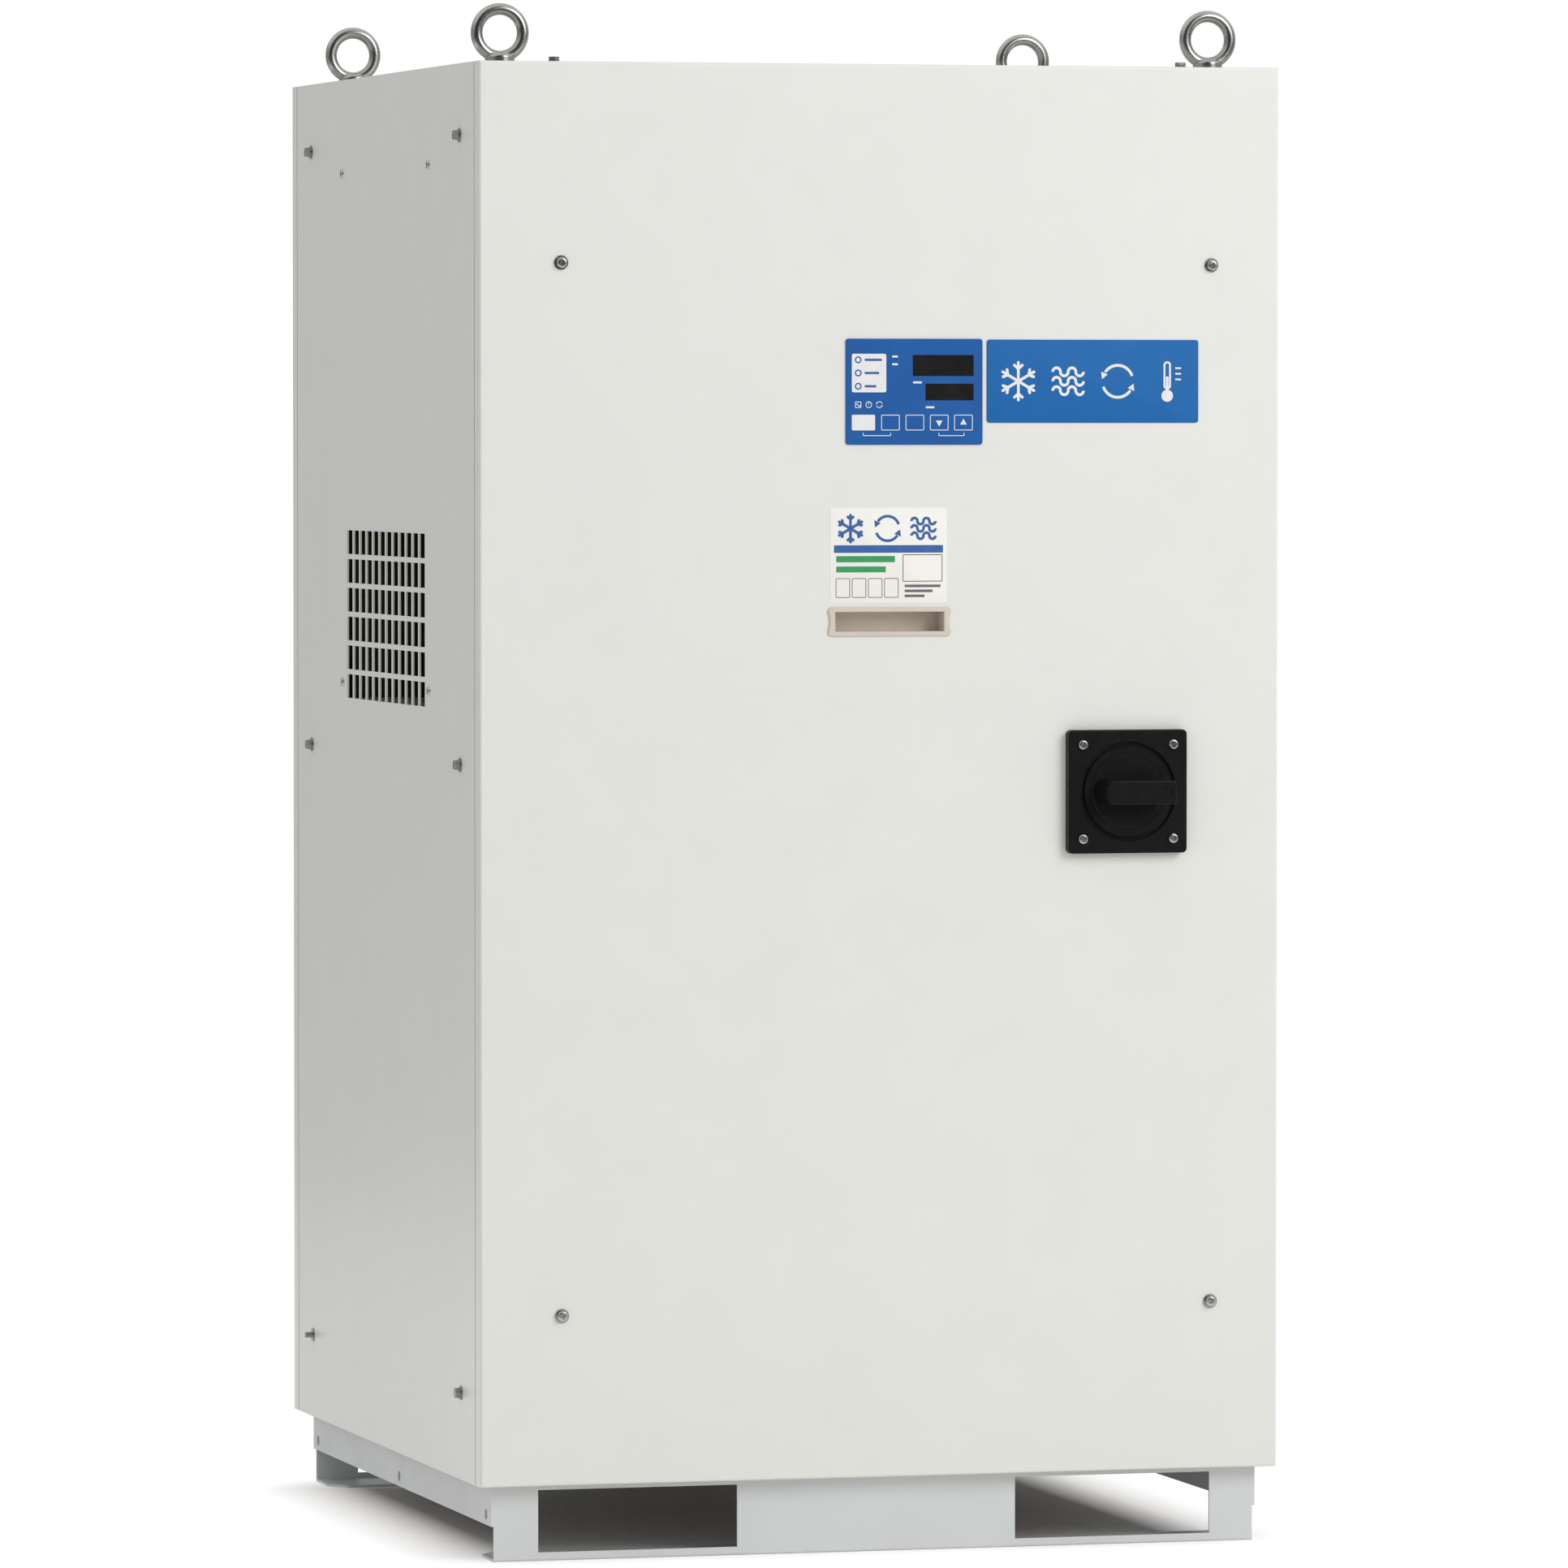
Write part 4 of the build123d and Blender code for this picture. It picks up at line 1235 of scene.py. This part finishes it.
@dataclass
class KeypadPrint:
    """What is printed on the keypad's film: a lamp field, small signs and the keys."""

    left: float = -32.95
    top: float = 1028.6
    face: float = -359.6
    line: float = 0.6
    lamp_field: Area = Area(5.2, 35.3, 12.7, 45.2)
    lamp_field_corner: float = 1.6
    lamp_across: float = 10.7
    lamp_rows: tuple[float, ...] = (17.8, 28.9, 40.1)
    lamp_inner: float = 1.8
    lamp_outer: float = 3.0
    note_left: float = 16.4
    note_rights: tuple[float, ...] = (31.5, 29.0, 26.5)
    note_height: float = 2.0
    first_key: Area = Area(5.2, 25.5, 64.1, 77.3)
    key_columns: tuple[Span, ...] = ((30.9, 47.1), (52.3, 68.5), (73.7, 89.9), (95.0, 111.3))
    key_corner: float = 1.0
    arrow_size: float = 3.3
    arrow_turns: Span = (180.0, 0.0)
    brackets: tuple[Span, ...] = ((15.1, 39.1), (81.5, 103.7))
    bracket_top: float = 79.4
    bracket_bottom: float = 82.0
    bracket_corner: float = 0.1
    tank: Area = Area(8.0, 13.4, 53.0, 58.4)
    tank_corner: float = 0.6
    tank_wave: float = 3.6
    wave_down: float = 56.0
    clock_across: float = 20.0
    clock_inner: float = 2.2
    clock_outer: float = 2.8
    clock_hand: float = 2.0
    loop_across: float = 29.2
    loop_size: float = 6.4
    sign_down: float = 55.6
    ring_edge: float = 0.0016
    marks: tuple[Area, ...] = (
        Area(40.5, 45.5, 14.2, 15.8),
        Area(40.5, 45.5, 20.7, 22.3),
        Area(58.8, 66.5, 36.0, 37.6),
        Area(70.0, 77.5, 57.0, 58.6),
    )
    mark_corner: float = 0.3

    def build(self) -> None:
        """Prints the film."""
        sheet = Sheet(self.left, self.top, self.face)
        white = Piece("keypad_print_white", INK_WHITE)
        sheet.fill(white, self.lamp_field, self.lamp_field_corner)
        self.print_keys(sheet, white)
        self.print_small_signs(sheet, white)
        white.make()
        blue = Piece("keypad_print_blue", INK_BLUE)
        self.print_lamps(Sheet(self.left, self.top, self.face - sheet.ink), blue)
        blue.make()

    def print_keys(self, sheet: Sheet, white: Piece) -> None:
        """Prints the filled key, the outlined keys, their arrows and the brackets under them.

        Args:
            sheet: the keypad's face.
            white: the piece for the ink.
        """
        key = self.first_key
        sheet.fill(white, key, self.key_corner)
        for left, right in self.key_columns:
            sheet.frame(white, Area(left, right, key.top, key.bottom), self.line, self.key_corner)
        for (left, right), turn in zip(self.key_columns[-2:], self.arrow_turns):
            arrow = Shape().puck(self.arrow_size, sheet.ink, sides=3).turned(turn)
            sheet.stamp(white, arrow, (left + right) / 2, key.middle[1])
        low, half = self.bracket_bottom, self.line / 2
        for left, right in self.brackets:
            sheet.fill(white, Area(left, right, low - self.line, low), self.bracket_corner)
            for end in (left, right):
                upright = Area(end - half, end + half, self.bracket_top, low)
                sheet.fill(white, upright, self.bracket_corner)

    def print_small_signs(self, sheet: Sheet, white: Piece) -> None:
        """Prints the small signs and the marks round the windows.

        Args:
            sheet: the keypad's face.
            white: the piece for the ink.
        """
        draw, clock, down = Pictograms(ink=sheet.ink, line=self.line), self.clock_across, self.sign_down
        sheet.frame(white, self.tank, self.line, self.tank_corner)
        sheet.stamp(white, draw.wave(self.tank_wave, 2), self.tank.middle[0], self.wave_down)
        dial = Shape().ring(self.clock_inner, self.clock_outer, sheet.ink, self.ring_edge)
        sheet.stamp(white, dial, clock, down)
        sheet.stamp(white, draw.bar(self.clock_hand).moved(y=self.clock_hand / 2), clock, down)
        sheet.stamp(white, draw.loop(self.loop_size), self.loop_across, down)
        for mark in self.marks:
            sheet.fill(white, mark, self.mark_corner)

    def print_lamps(self, sheet: Sheet, blue: Piece) -> None:
        """Prints the ring round each lamp and the note beside it.

        Args:
            sheet: the face of the lamp field.
            blue: the piece for the ink.
        """
        half = self.note_height / 2
        for down, right in zip(self.lamp_rows, self.note_rights):
            ring = Shape().ring(self.lamp_inner, self.lamp_outer, sheet.ink, self.ring_edge)
            sheet.stamp(blue, ring, self.lamp_across, down)
            sheet.fill(blue, Area(self.note_left, right, down - half, down + half), self.mark_corner)


@dataclass
class PortThread:
    """The thread cut inside one of the water ports."""

    node: str
    bore_radius: float = 12.05
    pitch: float = 2.31
    depth: float = 21.0
    crest: float = 0.9
    root: float = 0.1
    mouth: float = 0.8
    run_out: float = 0.4
    seat: float = 0.02
    steps: int = 48

    def build(self) -> None:
        """Builds the thread's ridges as one sleeve that is seated in the bore's wall."""
        low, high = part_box(self.node)
        wall = self.bore_radius + self.seat
        ridges = [(wall, -self.mouth), (wall, -self.depth)]
        for turn in range(int((self.depth - 2 * self.mouth) / self.pitch)):
            start = -self.depth + self.run_out + turn * self.pitch
            ridges.append((self.bore_radius - self.root, start))
            ridges.append((self.bore_radius - self.crest, start + self.pitch / 2))
        piece = Piece(f"{self.node}_thread", PORT_STEEL, Slot.PORT_STEEL)
        middle = (low + high) / 2 / MM
        piece.add(Shape().spun(ridges, self.steps), Side.REAR, (middle.x, high.y / MM, middle.z))
        piece.make()


@dataclass
class DrainThread(PortThread):
    """The finer thread cut inside the drain."""

    bore_radius: float = 7.45
    pitch: float = 1.81
    crest: float = 0.7


@dataclass
class CabinetFinishes:
    """The finishes of the CAD nodes, by the slot that the record gives each."""

    finishes: dict[Slot, Finish]

    def dress(self, nodes: dict[str, bpy.types.Object], subparts: list[dict[str, object]]) -> None:
        """Gives every CAD node its finish.

        Args:
            nodes: the CAD nodes by name.
            subparts: the record's list of nodes and slots.
        """
        for subpart in subparts:
            node = nodes[subpart["node"]]
            finish = self.finishes[Slot(subpart["material_slot"])]
            for material_slot in node.material_slots:
                material_slot.material = finish.material()
            log.info("node %s: %s", node.name, finish.name)


@dataclass
class PhotoCamera:
    """The long lens that looks at the cabinet from its front left."""

    corner: Point = (-350.0, -358.1, 65.0)
    reach: Point = (-2004.0, -8377.0, 894.3)
    pitch: float = -2.019
    heading: float = -15.145
    lens: float = 236.47
    sensor: float = 36.0
    clip_end: float = 100.0

    def build(self) -> None:
        """Makes the camera and sets it as the scene's own."""
        data = bpy.data.cameras.new("photo_camera")
        data.sensor_fit = "HORIZONTAL"
        data.sensor_width = self.sensor
        data.lens = self.lens
        data.clip_end = self.clip_end
        camera = bpy.data.objects.new("photo_camera", data)
        camera.location = (Vector(self.corner) + Vector(self.reach)) * MM
        camera.rotation_euler = (math.radians(90 + self.pitch), 0.0, math.radians(self.heading))
        bpy.context.scene.collection.objects.link(camera)
        bpy.context.scene.camera = camera


@dataclass
class Studio:
    """A room in metres, white behind and dark in front, with one large soft lamp at the front right."""

    ambient: float = 0.66
    lamp_place: Point = (2.6, -4.2, 3.0)
    lamp_size: float = 2.6
    lamp_power: float = 104.0
    aim: Point = (0.0, 0.0, 0.65)
    horizon_tone: Tone = Tone(178, 178, 178)
    front_tone: Tone = Tone(46, 46, 46)
    ceiling_rise: Span = (0.2, 0.55)
    front_turn: Span = (-0.75, -0.45)
    floor_size: float = 60.0
    floor_cells: int = 8
    floor_tone: Tone = Tone(247, 241, 236)
    floor_shade: float = 0.99
    floor_grain: float = 40.0
    footprint_centre: Point = (-0.013, 0.0, 0.0)
    footprint: Point = (0.287, 0.27, 1.0)
    shadow_fade: Span = (0.0, 0.1)
    sweep: Span = (2.6, 3.6)

    def build(self) -> None:
        """Sets the view, the world, the lamp and the floor."""
        bpy.context.scene.view_settings.view_transform = "Standard"
        self.light_world()
        self.hang_lamp()
        self.lay_floor()

    def light_world(self) -> None:
        """Lights the room evenly, shows it white to the eye and gives mirrors its darker walls."""
        world = bpy.data.worlds.new("studio")
        bpy.context.scene.world = world
        world.use_nodes = True
        graph = Graph(world.node_tree)
        seen_by = graph.add("ShaderNodeLightPath").outputs
        view = graph.add("ShaderNodeTexCoord").outputs["Generated"]
        toward = graph.add("ShaderNodeSeparateXYZ", {0: view}).outputs
        walls = graph.blend(graph.ramp(toward["Z"], self.ceiling_rise, 0.0, 1.0), self.horizon_tone, WHITE)
        room = graph.blend(graph.ramp(toward["Y"], self.front_turn, 1.0, 0.0), walls, self.front_tone)
        mirrored = graph.add("ShaderNodeBackground", {"Color": room, "Strength": 1.0})
        even = graph.add("ShaderNodeBackground", {"Color": WHITE.linear(), "Strength": self.ambient})
        white = graph.add("ShaderNodeBackground", {"Color": WHITE.linear(), "Strength": 1.0})
        lit = graph.mix(seen_by["Is Glossy Ray"], even, mirrored)
        plain = graph.number("MAXIMUM", seen_by["Is Camera Ray"], seen_by["Is Transmission Ray"])
        graph.finish(graph.mix(plain, lit, white), "ShaderNodeOutputWorld")

    def hang_lamp(self) -> None:
        """Hangs the soft lamp and points it at the cabinet."""
        data = bpy.data.lights.new("soft_lamp", "AREA")
        data.shape = "SQUARE"
        data.size = self.lamp_size
        data.energy = self.lamp_power
        lamp = bpy.data.objects.new("soft_lamp", data)
        lamp.location = self.lamp_place
        lamp.rotation_euler = (Vector(self.aim) - lamp.location).to_track_quat("-Z", "Y").to_euler()
        bpy.context.scene.collection.objects.link(lamp)

    def lay_floor(self) -> None:
        """Lays the floor, which keeps the cabinet's shadow and fades to white away from it."""
        grid, cells = bmesh.new(), self.floor_cells
        bmesh.ops.create_grid(grid, x_segments=cells, y_segments=cells, size=self.floor_size / 2)
        data = bpy.data.meshes.new("studio_floor")
        grid.to_mesh(data)
        grid.free()
        data.materials.append(self.floor_material())
        floor = bpy.data.objects.new("studio_floor", data)
        bpy.context.scene.collection.objects.link(floor)

    def floor_material(self) -> bpy.types.Material:
        """Makes the floor's material.

        Returns:
            A pale matt surface that turns to plain white away from the cabinet, and to the room's tones in mirrors.
        """
        material = bpy.data.materials.new("studio_floor_paint")
        material.use_nodes = True
        graph = Graph(material.node_tree)
        place = graph.add("ShaderNodeTexCoord").outputs["Object"]
        grain = graph.ramp(graph.noise(place, self.floor_grain), WIDE_NOISE, 0.0, 1.0)
        paint = graph.blend(grain, self.floor_tone, self.floor_tone.scaled(self.floor_shade))
        matt = graph.add("ShaderNodeBsdfDiffuse", {"Color": paint})
        away = graph.vector("ABSOLUTE", graph.vector("SUBTRACT", place, self.footprint_centre))
        away = graph.vector("MAXIMUM", graph.vector("SUBTRACT", away, self.footprint))
        gap = graph.add("ShaderNodeVectorMath", {0: away}, operation="LENGTH").outputs["Value"]
        fade = graph.ramp(gap, self.shadow_fade, 0.0, 1.0)
        far = graph.ramp(gap, self.sweep, 0.0, 1.0)
        along = graph.add("ShaderNodeSeparateXYZ", {0: place}).outputs["Y"]
        before = graph.ramp(along, (-self.sweep[1], -self.sweep[0]), 1.0, 0.0)
        tone = graph.blend(before, graph.blend(far, WHITE, self.horizon_tone), self.front_tone)
        white = graph.add("ShaderNodeEmission", {"Color": WHITE.linear(), "Strength": 1.0})
        mirrored = graph.add("ShaderNodeEmission", {"Color": tone, "Strength": 1.0})
        seen_by = graph.add("ShaderNodeLightPath").outputs
        shown = graph.mix(graph.number("MULTIPLY", fade, seen_by["Is Camera Ray"]), matt, white)
        graph.finish(graph.mix(graph.number("MULTIPLY", fade, seen_by["Is Glossy Ray"]), shown, mirrored))
        return material


def main() -> None:
    """Dresses the CAD part, adds its small pieces and sets up the studio."""
    logging.basicConfig(level=logging.INFO, format="%(name)s: %(message)s")
    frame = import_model()
    CabinetFinishes(SLOT_FINISHES).dress(frame["nodes"], frame["record"]["subparts"])
    PanelFixings().build()
    SideScrews().build()
    # Painted shade: grey strips on the panel seams stand for their shadow lines.
    SeamShadeStrips().build()
    TopBolts().build()
    SwitchScrews().build()
    SignPlate().build()
    InfoLabel().build()
    KeypadPrint().build()
    for name in PORT_NAMES:
        PortThread(name).build()
    DrainThread("port_drain").build()
    PhotoCamera().build()
    Studio().build()


if __name__ == "__main__":
    main()
